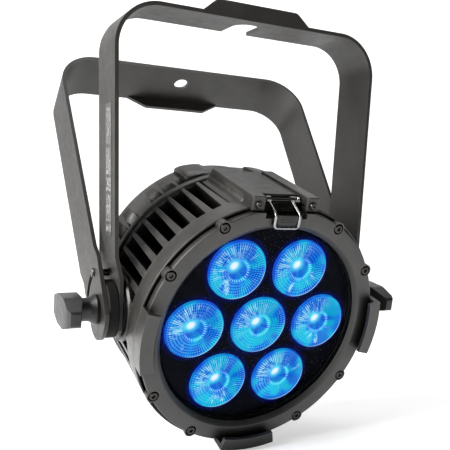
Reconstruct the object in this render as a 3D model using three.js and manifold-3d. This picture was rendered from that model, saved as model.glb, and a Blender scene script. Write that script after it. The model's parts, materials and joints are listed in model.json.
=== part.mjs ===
// LED par can light: a round die-cast head with seven lenses, clamped between the
// legs of two bent-strip yokes. Millimetres, +Z up. The origin is the middle of the
// hanging bolt hole, on the outer face of the hanging yoke's crossbar. The tilt axis
// runs along X, and the light shines towards -Y and down.
import * as THREE from 'three';
import { mergeVertices } from 'three/addons/utils/BufferGeometryUtils.js';
import Module from 'manifold-3d';

const wasm = await Module();
wasm.setup();

// ---------------------------------------------------------------- driving dimensions

const HEAD_TILT = THREE.MathUtils.degToRad(21.1);      // beam points this far below level
const HANGING_LEAN = THREE.MathUtils.degToRad(30.4);   // hanging yoke leans back from upright
const SWING_LEAN = THREE.MathUtils.degToRad(-5.3);     // swing yoke leans forward
const GAP = 0.3;                                       // between pieces that touch

const SHEET = 3;                      // yoke strip thickness
const HANGING_YOKE = {
  pivotX: 115.2, upperX: 115.3, splay: 0.0367, height: 240.7,
  width: 45.5, shift: 4.2, endRadius: 22.8, parallelTo: 35, straightFrom: 43,
};
const SWING_YOKE = {
  pivotX: 103.8, upperX: 106.7, splay: 0.031, height: 223.5,
  width: 42.5, shift: 4.4, endRadius: 21.5, parallelTo: 24, straightFrom: 40,
};
const BEND_RADIUS = 32;               // middle of the strip at the crossbar's bends
const STUD_RADIUS = 5;                // M10 clamp stud
const STOP_RADIUS = 28.2;             // stop pin's distance from the tilt axis
const STOP_ANGLE = THREE.MathUtils.degToRad(27.7);     // from the swing yoke's middle line
const STOP_PIN_RADIUS = 2.6;
const HANGING_HOLE_RADIUS = 6.8;      // M12 hook-clamp bolt with clearance

const SCREW_CIRCLE = 94;              // bezel screws, and the head's main radius
const SKIRT_RADIUS = 99.2;            // front ring and fins of the heat sink
const SKIRT_FRONT = 42.5;             // depths are measured forward of the tilt axis
const SKIRT_REAR = 24.5;
const BOSS_RADIUS = 25;
const CUP_RADIUS = 80;                // cavity that holds the lenses
const BASE_FRONT = 13.7;              // face that the LED board is screwed to
const BASE_REAR = 4.7;
const DRUM_RADIUS = 60;               // driver compartment, outside
const DRUM_WALL = 4;
const RING_FRONT = -28;               // middle ring that ties the fins together
const RING_REAR = -36.5;
const RING_RADIUS = 100;
const SHELL_RADIUS = 98.4;            // rear part of the heat sink
const SHELL_REAR = -70;
const SHELL_FLAT = 95.3;              // height of the flat along the shell's top
const FIN_PITCH = 7.5;                 // degrees
const PAD_HALF = 26.5;                // smooth pad along the top, at its top
const PAD_FOOT_HALF = 34;
const PAD_TOP = 102;
const PAD_FRONT = 31;

const BEZEL_RADIUS = 96.2;
const BEZEL_BACK = 42.8;
const BEZEL_FACE = 48.5;
const OPENING_RADIUS = 80.8;
const GLASS_RADIUS = 86.5;
const LUG_RADIUS = 5.2;
const CLIP_FRONT = 57;                // outer face of the accessory clips' lips
const CLIP_OUTER = 99.6;
const CLIP_INNER = 90;
const CLIP_HALF_ANGLE = 13.5;

const LENS_COUNT_ROUND = 6;           // around one in the middle
const LENS_PITCH = 53.2;
const LENS_RADIUS = 22.9;
const LENS_FRONT = 40.4;
const PLATE_FRONT = 38.6;

const EAR_INNER = 17;                 // latch ears either side of the bail
const EAR_OUTER = 27.4;
const EAR_FOOT = 93;                  // lower edge of the ears' front faces
const EAR_TOP = 104;
const RECESS_FLOOR = 88.8;            // of the space between the ears
const LATCH_SCREW_X = 22.2;
const LATCH_SCREW_HEIGHT = 97.8;
const PIN_DEPTH = 34.5;               // latch pin, forward of the tilt axis
const PIN_HEIGHT = 98.5;
const BAIL_HALF = 9.9;
const BAIL_WIRE = 1.1;

const COVER_FRONT = -72.1;            // rear cover
const COVER_REAR = -76.1;
const COVER_RADIUS = 95;

// ------------------------------------------------------------------------- materials

function paint(color, roughness, metalness) {
  return new THREE.MeshStandardMaterial({ color, roughness, metalness });
}

const blackCoat = paint(0x2b2a29, 0.55, 0.2);
const castCoat = paint(0x2f2e2c, 0.6, 0.2);
const rubber = paint(0x151515, 0.85, 0);
const plastic = paint(0x1c1c1c, 0.5, 0);
const steel = paint(0xb8b8b8, 0.3, 1);
const blackSteel = paint(0x222222, 0.4, 0.8);
const glass = paint(0xdfe8ee, 0.05, 0);
const lensBlue = paint(0x1a8fe8, 0.2, 0);
const board = paint(0x14532d, 0.6, 0);
const screen = paint(0x0a0f18, 0.15, 0);

// ---------------------------------------------------------------------- solid helpers

const degrees = THREE.MathUtils.degToRad;
const axisX = new THREE.Vector3(1, 0, 0);
const axisY = new THREE.Vector3(0, 1, 0);
const axisZ = new THREE.Vector3(0, 0, 1);

function closedMesh(geometry) {
  const bare = geometry.clone();
  bare.deleteAttribute('normal');
  bare.deleteAttribute('uv');
  const merged = mergeVertices(bare, 1e-4);
  const index = Array.from(merged.index.array);
  const triangles = [];
  for (let i = 0; i < index.length; i += 3) {
    const [a, b, c] = index.slice(i, i + 3);
    if (a !== b && b !== c && c !== a) triangles.push(a, b, c);
  }
  return { positions: merged.attributes.position.array, triangles };
}

function signedVolume({ positions, triangles }) {
  const corner = (i) => new THREE.Vector3().fromArray(positions, 3 * triangles[i]);
  let sum = 0;
  for (let i = 0; i < triangles.length; i += 3) {
    sum += corner(i).dot(corner(i + 1).cross(corner(i + 2)));
  }
  return sum / 6;
}

// A three.js geometry as a solid, with its faces turned outwards.
function solid(geometry) {
  const mesh = closedMesh(geometry);
  if (signedVolume(mesh) < 0) mesh.triangles.reverse();
  return new wasm.Manifold(new wasm.Mesh({
    numProp: 3,
    vertProperties: Float32Array.from(mesh.positions),
    triVerts: Uint32Array.from(mesh.triangles),
  }));
}

function join(...solids) {
  return solids.reduce((sum, next) => sum.add(next));
}

function cut(body, ...tools) {
  return tools.reduce((rest, tool) => rest.subtract(tool), body);
}

function geometryOf(body) {
  const mesh = body.getMesh();
  const geometry = new THREE.BufferGeometry();
  geometry.setAttribute('position', new THREE.BufferAttribute(mesh.vertProperties, 3));
  geometry.setIndex(new THREE.BufferAttribute(mesh.triVerts, 1));
  geometry.computeVertexNormals();
  return geometry;
}

function box(x0, x1, y0, y1, z0, z1) {
  const geometry = new THREE.BoxGeometry(x1 - x0, y1 - y0, z1 - z0);
  geometry.translate((x0 + x1) / 2, (y0 + y1) / 2, (z0 + z1) / 2);
  return solid(geometry);
}

// A round bar between two points, with its own radius at each end.
function rod(from, to, radius, endRadius = radius, sides = 24) {
  const start = new THREE.Vector3(...from);
  const along = new THREE.Vector3(...to).sub(start);
  const geometry = new THREE.CylinderGeometry(endRadius, radius, along.length(), sides);
  geometry.translate(0, along.length() / 2, 0);
  geometry.applyQuaternion(new THREE.Quaternion().setFromUnitVectors(axisY, along.normalize()));
  geometry.translate(start.x, start.y, start.z);
  return solid(geometry);
}

// A flat outline pushed out along X, Y or Z. The outline's two directions are the
// other two axes, in X, Y, Z order.
function extrude(outline, along, from, to, curveSegments = 16) {
  const geometry = new THREE.ExtrudeGeometry(outline, {
    depth: to - from, bevelEnabled: false, curveSegments,
  });
  geometry.translate(0, 0, from);
  const frame = new THREE.Matrix4();
  if (along === 'x') frame.makeBasis(axisY, axisZ, axisX);
  if (along === 'y') frame.set(1, 0, 0, 0, 0, 0, 1, 0, 0, 1, 0, 0, 0, 0, 0, 1);
  geometry.applyMatrix4(frame);
  return solid(geometry);
}

// A ring or disc turned about the beam axis. The profile is [radius, depth forward of
// the tilt axis], closed on itself or from axis to axis.
function turned(profile, sides = 48) {
  const points = profile.map(([radius, depth]) => new THREE.Vector2(radius, -depth));
  if (profile[0][0] > 0) points.push(points[0].clone());
  return solid(new THREE.LatheGeometry(points, sides));
}

function turnedRing(inner, outer, back, front, sides = 48) {
  return turned([[inner, back], [outer, back], [outer, front], [inner, front]], sides);
}

function turnedDisc(radius, back, front, sides = 48) {
  return turned([[0, back], [radius, back], [radius, front], [0, front]], sides);
}

function spinY(body, angle) {
  return body.rotate([0, -angle, 0]);
}

// Where a point at a radius and an angle from +X lies across the beam.
function around(radius, angle) {
  return [radius * Math.cos(degrees(angle)), radius * Math.sin(degrees(angle))];
}

function rectangle(halfWide, halfHigh, centreX = 0, centreY = 0) {
  const outline = new THREE.Shape();
  outline.moveTo(centreX - halfWide, centreY - halfHigh);
  outline.lineTo(centreX + halfWide, centreY - halfHigh);
  outline.lineTo(centreX + halfWide, centreY + halfHigh);
  outline.lineTo(centreX - halfWide, centreY + halfHigh);
  outline.closePath();
  return outline;
}

function sector(inner, outer, fromAngle, toAngle) {
  const outline = new THREE.Shape();
  outline.absarc(0, 0, outer, degrees(fromAngle), degrees(toAngle), false);
  outline.absarc(0, 0, inner, degrees(toAngle), degrees(fromAngle), true);
  outline.closePath();
  return outline;
}

// ------------------------------------------------------------------------- assembly

const light = new THREE.Group();
const pivot = new THREE.Group();
pivot.position.set(
  0,
  -HANGING_YOKE.height * Math.sin(HANGING_LEAN),
  -HANGING_YOKE.height * Math.cos(HANGING_LEAN),
);
light.add(pivot);

const hangingGroup = new THREE.Group();
hangingGroup.rotation.x = -HANGING_LEAN;
const swingGroup = new THREE.Group();
swingGroup.rotation.x = -SWING_LEAN;
const head = new THREE.Group();
head.rotation.x = HEAD_TILT;
pivot.add(hangingGroup, swingGroup, head);

function place(group, name, body, material) {
  const mesh = new THREE.Mesh(geometryOf(body), material);
  mesh.name = name;
  group.add(mesh);
}

const SIDES = [{ name: 'left', sign: -1 }, { name: 'right', sign: 1 }];

// ---------------------------------------------------------------------------- yokes

// The strip's path, seen from the front: up one leg, across and down the other.
function yokePath(spec) {
  const middle = SHEET / 2;
  const legX = (height) => spec.upperX + spec.splay * height - middle;
  const top = spec.height - middle;
  const half = [
    new THREE.Vector2(spec.pivotX - middle, -spec.endRadius - 4),
    new THREE.Vector2(spec.pivotX - middle, spec.parallelTo),
    new THREE.Vector2(legX(spec.straightFrom), spec.straightFrom),
  ];
  const bendSteps = 7;
  const centre = new THREE.Vector2(legX(top) - BEND_RADIUS, top - BEND_RADIUS);
  for (let step = 0; step <= bendSteps; step += 1) {
    const angle = (Math.PI / 2) * (step / bendSteps);
    half.push(new THREE.Vector2(
      centre.x + BEND_RADIUS * Math.cos(angle),
      centre.y + BEND_RADIUS * Math.sin(angle),
    ));
  }
  const mirrored = half.map((point) => new THREE.Vector2(-point.x, point.y)).reverse();
  return [...half, ...mirrored];
}

// The path thickened to the sheet's thickness.
function stripOutline(path) {
  const side = (sign) => path.map((point, i) => {
    const before = path[Math.max(i - 1, 0)];
    const after = path[Math.min(i + 1, path.length - 1)];
    const into = point.clone().sub(i > 0 ? before : point.clone().sub(after).add(point));
    const out = (i < path.length - 1 ? after.clone().sub(point) : into.clone());
    const normalIn = new THREE.Vector2(-into.y, into.x).normalize();
    const normalOut = new THREE.Vector2(-out.y, out.x).normalize();
    const mitre = normalIn.add(normalOut).normalize();
    const reach = (SHEET / 2) / mitre.dot(new THREE.Vector2(-out.y, out.x).normalize());
    return point.clone().addScaledVector(mitre, sign * reach);
  });
  return new THREE.Shape([...side(1), ...side(-1).reverse()]);
}

// The strip seen from the side: its full width, with round ends about the tilt axis.
function stripSide(spec) {
  const front = spec.shift - spec.width / 2;
  const rear = spec.shift + spec.width / 2;
  const outline = new THREE.Shape();
  outline.moveTo(front, spec.height + 1);
  outline.lineTo(front, spec.endRadius * 0.9);
  outline.lineTo(-spec.endRadius, spec.endRadius * 0.35);
  outline.lineTo(-spec.endRadius, 0);
  outline.absarc(0, 0, spec.endRadius, Math.PI, 2 * Math.PI, false);
  outline.lineTo(spec.endRadius, spec.endRadius * 0.35);
  outline.lineTo(rear, spec.endRadius * 0.9);
  outline.lineTo(rear, spec.height + 1);
  outline.closePath();
  return outline;
}

// A stiffening flange bent out of one edge of the crossbar.
function flange(edgeY, from, to, baseHalf, tipHalf) {
  const outline = new THREE.Shape();
  outline.moveTo(-baseHalf, from);
  outline.lineTo(baseHalf, from);
  outline.lineTo(tipHalf, to);
  outline.lineTo(-tipHalf, to);
  outline.closePath();
  return extrude(outline, 'y', edgeY - SHEET / 2, edgeY + SHEET / 2);
}

function bentStrip(spec) {
  const across = spec.width / 2;
  const strip = extrude(stripOutline(yokePath(spec)), 'y', spec.shift - across, spec.shift + across);
  const reach = spec.upperX + spec.splay * spec.height + 5;
  const cylinderAlongX = rod([-reach, 0, 0], [reach, 0, 0], STUD_RADIUS + 0.6);
  return cut(strip.intersect(extrude(stripSide(spec), 'x', -reach, reach, 14)), cylinderAlongX);
}

// Arc slot in the hanging yoke's legs that the swing yoke's stop pins slide along.
function stopSlot() {
  const restAngle = 90 - THREE.MathUtils.radToDeg(STOP_ANGLE + SWING_LEAN - HANGING_LEAN);
  const travel = 50;
  const half = STOP_PIN_RADIUS + 0.5;
  const ring = sector(STOP_RADIUS - half, STOP_RADIUS + half, restAngle - travel, restAngle);
  const reach = HANGING_YOKE.pivotX + 5;
  const ends = [restAngle, restAngle - travel].map((angle) => {
    const [y, z] = around(STOP_RADIUS, angle);
    return rod([-reach, y, z], [reach, y, z], half, half, 12);
  });
  return join(extrude(ring, 'x', -reach, reach, 8), ...ends);
}

function hangingYoke() {
  const spec = HANGING_YOKE;
  const edge = spec.shift + spec.width / 2 - SHEET / 2;
  const body = join(bentStrip(spec), flange(edge, spec.height - 2, spec.height - 13.6, 50.5, 31));
  const hole = rod([0, 0, spec.height - 10], [0, 0, spec.height + 5], HANGING_HOLE_RADIUS);
  return cut(body, hole, stopSlot());
}

function stopPlace() {
  return [STOP_RADIUS * Math.sin(STOP_ANGLE), STOP_RADIUS * Math.cos(STOP_ANGLE)];
}

function swingYoke() {
  const spec = SWING_YOKE;
  const edge = spec.shift - spec.width / 2 + SHEET / 2;
  const body = join(bentStrip(spec), flange(edge, spec.height - 2, spec.height + 9.4, 48.5, 35));
  const notchHalf = 11.7;
  const notchFront = -6;
  const rear = spec.shift + spec.width / 2 + 5;
  const notch = join(
    box(-notchHalf, notchHalf, notchFront + notchHalf, rear, spec.height - 8, spec.height + 5),
    rod([0, notchFront + notchHalf, spec.height - 8], [0, notchFront + notchHalf, spec.height + 5], notchHalf),
  );
  const [y, z] = stopPlace();
  const reach = spec.pivotX + 5;
  const pinHoles = rod([-reach, y, z], [reach, y, z], STOP_PIN_RADIUS + GAP, STOP_PIN_RADIUS + GAP, 16);
  return cut(body, notch, pinHoles);
}

function stopPin(sign) {
  const [y, z] = stopPlace();
  const inner = SWING_YOKE.pivotX - SHEET + 0.2;
  const outer = HANGING_YOKE.pivotX + 2 * GAP;
  return join(
    rod([sign * inner, y, z], [sign * outer, y, z], STOP_PIN_RADIUS, STOP_PIN_RADIUS, 16),
    rod([sign * (outer - 0.2), y, z], [sign * (outer + 1.6), y, z], 4.2, 3.4, 16),
  );
}

place(hangingGroup, 'hanging_yoke', hangingYoke(), blackCoat);
place(swingGroup, 'swing_yoke', swingYoke(), blackCoat);
for (const side of SIDES) {
  place(swingGroup, `${side.name}_stop_pin`, stopPin(side.sign), steel);
}

// ----------------------------------------------------------------- clamps and knobs

function ringAlongX(sign, from, to, inner, outer) {
  return cut(
    rod([sign * from, 0, 0], [sign * to, 0, 0], outer, outer, 24),
    rod([sign * (from - 1), 0, 0], [sign * (to + 1), 0, 0], inner, inner, 12),
  );
}

const SWING_INNER_FACE = SWING_YOKE.pivotX - SHEET;
const HANGING_INNER_FACE = HANGING_YOKE.pivotX - SHEET;
const WASHER_THICKNESS = 1.2;
const BOSS_FACE = SWING_INNER_FACE - WASHER_THICKNESS - 2 * GAP;
const KNOB_WASHER = 1.4;
const KNOB_START = HANGING_YOKE.pivotX + KNOB_WASHER + 2 * GAP;
const KNOB_OUTER = 142;
const STUD_END = 130;
const WING_HALF = 27;

// A wing seen along the tilt axis, in its own direction: wide in the middle, blunt ends.
function wingOutline(pitch) {
  const tipHalf = 5.2;
  const waistHalf = 11.2;
  const corners = [
    [-WING_HALF, -tipHalf + 1.5], [-WING_HALF + 1.5, -tipHalf], [-9, -waistHalf],
    [9, -waistHalf], [WING_HALF - 1.5, -tipHalf], [WING_HALF, -tipHalf + 1.5],
  ];
  const round = [...corners, ...corners.map(([along, up]) => [along, -up]).reverse()];
  return new THREE.Shape(round.map(([along, up]) => (
    new THREE.Vector2(along, up).rotateAround(new THREE.Vector2(), degrees(pitch))
  )));
}

function knob(sign, pitch) {
  const span = [sign * 128.5, sign * KNOB_OUTER].sort((a, b) => a - b);
  const thickness = new THREE.Shape([
    [-WING_HALF - 1, 133.5], [-10, 128.5], [10, 128.5], [WING_HALF + 1, 133.5],
    [WING_HALF - 1, 140], [WING_HALF - 5, KNOB_OUTER], [-WING_HALF + 5, KNOB_OUTER],
    [-WING_HALF + 1, 140],
  ].map(([along, out]) => new THREE.Vector2(sign * out, along)));
  const slab = extrude(thickness, 'z', -20, 20).rotate([pitch, 0, 0]);
  const wing = extrude(wingOutline(pitch), 'x', span[0], span[1]).intersect(slab);
  const hub = join(
    rod([sign * KNOB_START, 0, 0], [sign * (KNOB_START + 4), 0, 0], 11.5, 9, 24),
    rod([sign * (KNOB_START + 3), 0, 0], [sign * 131, 0, 0], 8.6, 8.6, 24),
  );
  const bore = rod([sign * (KNOB_START - 1), 0, 0], [sign * (STUD_END + GAP), 0, 0], STUD_RADIUS + GAP);
  return cut(join(wing, hub), bore);
}

const KNOB_PITCH = { left: 9, right: 13 };
for (const side of SIDES) {
  const { name, sign } = side;
  place(head, `${name}_inner_washer`,
    ringAlongX(sign, BOSS_FACE + GAP, SWING_INNER_FACE - GAP, STUD_RADIUS + 0.5, 20), rubber);
  place(pivot, `${name}_friction_disc`,
    ringAlongX(sign, SWING_YOKE.pivotX + GAP, HANGING_INNER_FACE - GAP, STUD_RADIUS + 0.5, 21.5), rubber);
  place(pivot, `${name}_knob_washer`,
    ringAlongX(sign, HANGING_YOKE.pivotX + GAP, KNOB_START - GAP, STUD_RADIUS + 0.5, 11), steel);
  place(pivot, `${name}_knob_stud`,
    rod([sign * 84, 0, 0], [sign * STUD_END, 0, 0], STUD_RADIUS), steel);
  place(pivot, `${name}_knob`, knob(sign, KNOB_PITCH[name]), plastic);
}

// ------------------------------------------------------------------------ heat sink

const SCREW_ANGLES = [30, 60, 120, 150, 210, 240, 300, 330];
const COVER_SCREW_CIRCLE = 88;
const COVER_SCREW_ANGLES = [45, 135, 225, 315];

function housingOfRevolution() {
  return turned([
    [0, BASE_REAR], [DRUM_RADIUS - DRUM_WALL, BASE_REAR], [DRUM_RADIUS - DRUM_WALL, SHELL_REAR],
    [SHELL_RADIUS, SHELL_REAR], [SHELL_RADIUS, RING_REAR], [RING_RADIUS, RING_REAR], [RING_RADIUS, RING_FRONT],
    [84, RING_FRONT], [84, SHELL_REAR + 4], [DRUM_RADIUS, SHELL_REAR + 4],
    [DRUM_RADIUS, BASE_REAR + 1], [CUP_RADIUS + 7, BASE_REAR + 1], [CUP_RADIUS + 7, SKIRT_REAR],
    [SKIRT_RADIUS, SKIRT_REAR], [SKIRT_RADIUS, SKIRT_FRONT],
    [GLASS_RADIUS + 1, SKIRT_FRONT], [GLASS_RADIUS + 1, PLATE_FRONT + GAP],
    [CUP_RADIUS, PLATE_FRONT + GAP], [CUP_RADIUS, BASE_FRONT], [0, BASE_FRONT],
  ]);
}

// One cooling fin from the cup to the middle ring, thicker towards the front.
function fin(angle) {
  const plan = new THREE.Shape([
    new THREE.Vector2(-1.6, -RING_FRONT + 1),
    new THREE.Vector2(1.6, -RING_FRONT + 1),
    new THREE.Vector2(3, -SKIRT_REAR - 1),
    new THREE.Vector2(-3, -SKIRT_REAR - 1),
  ]);
  return spinY(extrude(plan, 'z', DRUM_RADIUS + 6, SKIRT_RADIUS - 0.4), angle - 90);
}

// A louvre behind the middle ring, above the space between two fins.
function louvre(angle) {
  const outline = new THREE.Shape([
    new THREE.Vector2(-RING_REAR + 0.5, 83), new THREE.Vector2(-RING_REAR + 0.5, 101),
    new THREE.Vector2(-RING_REAR + 12, 101), new THREE.Vector2(-RING_REAR + 6, 83),
  ]);
  return spinY(extrude(outline, 'x', -4.2, 4.2), angle - 90);
}

function finAngles() {
  const angles = [];
  for (let angle = 0; angle < 360; angle += FIN_PITCH) {
    const underPad = Math.abs(angle - 90) < 20;
    const underBoss = angle === 0 || angle === 180;
    if (!underPad && !underBoss) angles.push(angle);
  }
  return angles;
}

// Three louvres and a plain stretch, over and over, down each side from the top.
function louvreAngles() {
  const angles = [];
  for (let step = 3; step < 23; step += 1) {
    const fromTop = (step + 0.5) * FIN_PITCH;
    const plain = step % 4 === 2;
    if (!plain) angles.push(90 - fromTop, 90 + fromTop);
  }
  return angles;
}

function latchEar(sign) {
  const span = [sign * EAR_INNER, sign * EAR_OUTER].sort((a, b) => a - b);
  return join(
    box(span[0], span[1], -SKIRT_FRONT + 0.1, -28, 88, EAR_TOP),
    box(span[0], span[1], -SKIRT_FRONT - 2.7, -SKIRT_FRONT + 1, EAR_FOOT, EAR_TOP),
  );
}

// A bulge on the rear shell, higher on the side away from the top.
function humpOutline(sign) {
  const corner = (radius, fromTop) => new THREE.Vector2(...around(radius, 90 + sign * fromTop));
  return new THREE.Shape([
    corner(92, 12.5), corner(100, 12.5), corner(101.5, 16), corner(103.4, 22), corner(103.2, 25.5),
    corner(92, 25.5),
  ]);
}

function heatSink() {
  const padSide = [[PAD_FOOT_HALF, 83], [PAD_FOOT_HALF, 92.3], [PAD_HALF, PAD_TOP]];
  const padOutline = new THREE.Shape([
    ...padSide.map(([x, z]) => new THREE.Vector2(x, z)),
    ...padSide.map(([x, z]) => new THREE.Vector2(-x, z)).reverse(),
  ]);
  const pad = extrude(padOutline, 'y', -PAD_FRONT, -RING_FRONT + 1);
  const humps = SIDES.map(({ sign }) => extrude(humpOutline(sign), 'y', -RING_REAR + 3, -SHELL_REAR - 3));
  const bosses = SIDES.map(({ sign }) => (
    rod([sign * 57, 0, 0], [sign * BOSS_FACE, 0, 0], BOSS_RADIUS, BOSS_RADIUS, 36)
  ));
  const ears = SIDES.map(({ sign }) => latchEar(sign));
  const body = join(housingOfRevolution(), ...finAngles().map(fin), ...bosses);
  const latchRecess = box(-EAR_INNER, EAR_INNER, -SKIRT_FRONT - 5, -PAD_FRONT, RECESS_FLOOR, 110);
  const topFlat = box(-30, 30, -RING_REAR + 0.5, -SHELL_REAR + 1, SHELL_FLAT, 110);
  const studHoles = SIDES.map(({ sign }) => (
    rod([sign * 83, 0, 0], [sign * 110, 0, 0], STUD_RADIUS + GAP)
  ));
  const screwHoles = SCREW_ANGLES.map((angle) => {
    const [x, z] = around(SCREW_CIRCLE, angle);
    return rod([x, -SKIRT_FRONT - 1, z], [x, -32, z], 2.3, 2.3, 8);
  });
  const coverHoles = COVER_SCREW_ANGLES.map((angle) => {
    const [x, z] = around(COVER_SCREW_CIRCLE, angle);
    return rod([x, -SHELL_REAR - 10, z], [x, -SHELL_REAR + 1, z], 1.8, 1.8, 8);
  });
  const pinHole = rod([-20, -PIN_DEPTH, PIN_HEIGHT], [20, -PIN_DEPTH, PIN_HEIGHT], 1.8, 1.8, 16);
  const earHoles = SIDES.map(({ sign }) => {
    const x = sign * LATCH_SCREW_X;
    return rod([x, -50, LATCH_SCREW_HEIGHT], [x, -37, LATCH_SCREW_HEIGHT], 1.7, 1.7, 12);
  });
  const wirePass = rod([0, -BASE_FRONT - 1, 28], [0, -BASE_REAR + 1, 28], 6, 6, 16);
  const louvres = louvreAngles().map(louvre);
  const cast = cut(join(cut(body, ...louvres, topFlat), pad, ...humps), latchRecess);
  const drumSpace = turnedDisc(DRUM_RADIUS - DRUM_WALL, SHELL_REAR - 1, BASE_REAR);
  const cupSpace = turnedDisc(CUP_RADIUS, BASE_FRONT, SKIRT_FRONT + 1);
  return cut(join(cast, ...ears), drumSpace, cupSpace, ...studHoles, ...screwHoles, ...coverHoles,
    pinHole, ...earHoles, wirePass);
}

place(head, 'heat_sink', heatSink(), castCoat);

// --------------------------------------------------------------- bezel, glass, screws

function bezelClip(angle) {
  const from = angle - CLIP_HALF_ANGLE;
  const to = angle + CLIP_HALF_ANGLE;
  const wall = extrude(sector(96, CLIP_OUTER, from, to), 'y', -CLIP_FRONT, -BEZEL_BACK - 1, 6);
  const foot = extrude(sector(93, CLIP_OUTER, from, to), 'y', -BEZEL_FACE, -BEZEL_BACK - 1, 6);
  const lip = extrude(sector(CLIP_INNER, CLIP_OUTER, from, to), 'y', -CLIP_FRONT, -CLIP_FRONT + 3, 6);
  return join(wall, foot, lip);
}

function frontBezel() {
  const ring = turned([
    [BEZEL_RADIUS, BEZEL_BACK], [BEZEL_RADIUS, BEZEL_FACE - 0.8], [BEZEL_RADIUS - 0.8, BEZEL_FACE],
    [OPENING_RADIUS + 3.7, BEZEL_FACE], [OPENING_RADIUS, BEZEL_FACE - 3.9],
    [GLASS_RADIUS + 0.6, BEZEL_FACE - 3.9], [GLASS_RADIUS + 0.6, BEZEL_BACK],
  ]);
  const lugs = [];
  const bores = [];
  for (const angle of SCREW_ANGLES) {
    const [x, z] = around(SCREW_CIRCLE, angle);
    lugs.push(rod([x, -BEZEL_BACK, z], [x, -BEZEL_FACE, z], LUG_RADIUS, LUG_RADIUS, 14));
    bores.push(rod([x, -BEZEL_FACE - 1, z], [x, -BEZEL_FACE + 2.2, z], 4.2, 4.2, 12));
    bores.push(rod([x, -BEZEL_FACE - 1, z], [x, -BEZEL_BACK + 1, z], 2.4, 2.4, 8));
  }
  const clips = [0, 180, 270].map(bezelClip);
  const glassPocket = turnedDisc(GLASS_RADIUS + 0.6, BEZEL_BACK - 1, BEZEL_FACE - 3.9);
  const latchNotch = join(
    box(-EAR_INNER, EAR_INNER, -CLIP_FRONT, -BEZEL_BACK + 1, RECESS_FLOOR, 110),
    box(-EAR_OUTER - GAP, EAR_OUTER + GAP, -CLIP_FRONT, -BEZEL_BACK + 1, EAR_FOOT - GAP, 110),
  );
  return cut(join(ring, ...lugs, ...clips), glassPocket, ...bores, latchNotch);
}

// A pan-head screw along the beam, with a hexagon socket.
function headScrew(angle) {
  const [x, z] = around(SCREW_CIRCLE, angle);
  const seat = -BEZEL_FACE + 2.2 - GAP;
  return cut(
    join(
      rod([x, seat, z], [x, seat - 2.4, z], 3.6, 3, 12),
      rod([x, seat - 0.5, z], [x, -33, z], 2, 2, 8),
    ),
    rod([x, seat - 1, z], [x, seat - 4, z], 1.6, 1.6, 6),
  );
}

place(head, 'front_bezel', frontBezel(), castCoat);
place(head, 'front_glass', turnedDisc(GLASS_RADIUS, 41.4, 44.2), glass);
place(head, 'glass_gasket', turnedRing(81.5, GLASS_RADIUS, 39.2, 41.1, 48), rubber);
SCREW_ANGLES.forEach((angle, i) => {
  place(head, `bezel_screw_${i + 1}`, headScrew(angle), blackSteel);
});

// ------------------------------------------------------------------ lenses and LEDs

function lensPlaces() {
  const places = [[0, 0]];
  for (let i = 0; i < LENS_COUNT_ROUND; i += 1) {
    places.push(around(LENS_PITCH, i * (360 / LENS_COUNT_ROUND)));
  }
  return places;
}

function lens() {
  return turned([
    [0, 18.5], [6, 18.5], [LENS_RADIUS - 2, 35.6], [LENS_RADIUS, 35.6],
    [LENS_RADIUS, LENS_FRONT - 0.8], [LENS_RADIUS - 1, LENS_FRONT], [0, LENS_FRONT + 0.6],
  ], 20);
}

function lensCarrier() {
  const edge = CUP_RADIUS - GAP;
  const plate = turnedDisc(edge, PLATE_FRONT - 2, PLATE_FRONT);
  const rim = turnedRing(edge - 2, edge, 16.2, PLATE_FRONT - 1);
  const holes = lensPlaces().map(([x, z]) => (
    rod([x, -PLATE_FRONT - 1, z], [x, -PLATE_FRONT + 3, z], LENS_RADIUS + GAP, LENS_RADIUS + GAP, 20)
  ));
  return cut(join(plate, rim), ...holes);
}

function ledBoard() {
  const back = BASE_FRONT + GAP;
  const front = back + 1.6;
  const emitters = lensPlaces().map(([x, z]) => box(x - 3.5, x + 3.5, -front - 1.8, -front + 0.5, z - 3.5, z + 3.5));
  return join(turnedDisc(CUP_RADIUS - 1, back, front, 48), ...emitters);
}

place(head, 'lens_plate', lensCarrier(), plastic);
place(head, 'led_board', ledBoard(), board);
lensPlaces().forEach(([x, z], i) => {
  place(head, `lens_${i + 1}`, lens().translate([x, 0, z]), lensBlue);
});

// ------------------------------------------------------------------ accessory latch

class WirePath extends THREE.CurvePath {}

// Straight stretches joined by rounded corners.
function bentWire(corners, bend) {
  const path = new WirePath();
  let start = corners[0];
  for (let i = 1; i < corners.length - 1; i += 1) {
    const into = corners[i - 1].clone().sub(corners[i]).setLength(bend).add(corners[i]);
    const out = corners[i + 1].clone().sub(corners[i]).setLength(bend).add(corners[i]);
    path.add(new THREE.LineCurve3(start, into));
    path.add(new THREE.QuadraticBezierCurve3(into, corners[i], out));
    start = out;
  }
  path.add(new THREE.LineCurve3(start, corners[corners.length - 1]));
  return path;
}

function roundWire(path, radius, steps, sides = 8) {
  const section = new THREE.Shape();
  for (let i = 0; i < sides; i += 1) {
    const angle = (i / sides) * 2 * Math.PI;
    const point = [radius * Math.cos(angle), radius * Math.sin(angle)];
    if (i === 0) section.moveTo(...point);
    else section.lineTo(...point);
  }
  section.closePath();
  return solid(new THREE.ExtrudeGeometry(section, { steps, extrudePath: path, bevelEnabled: false }));
}

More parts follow.
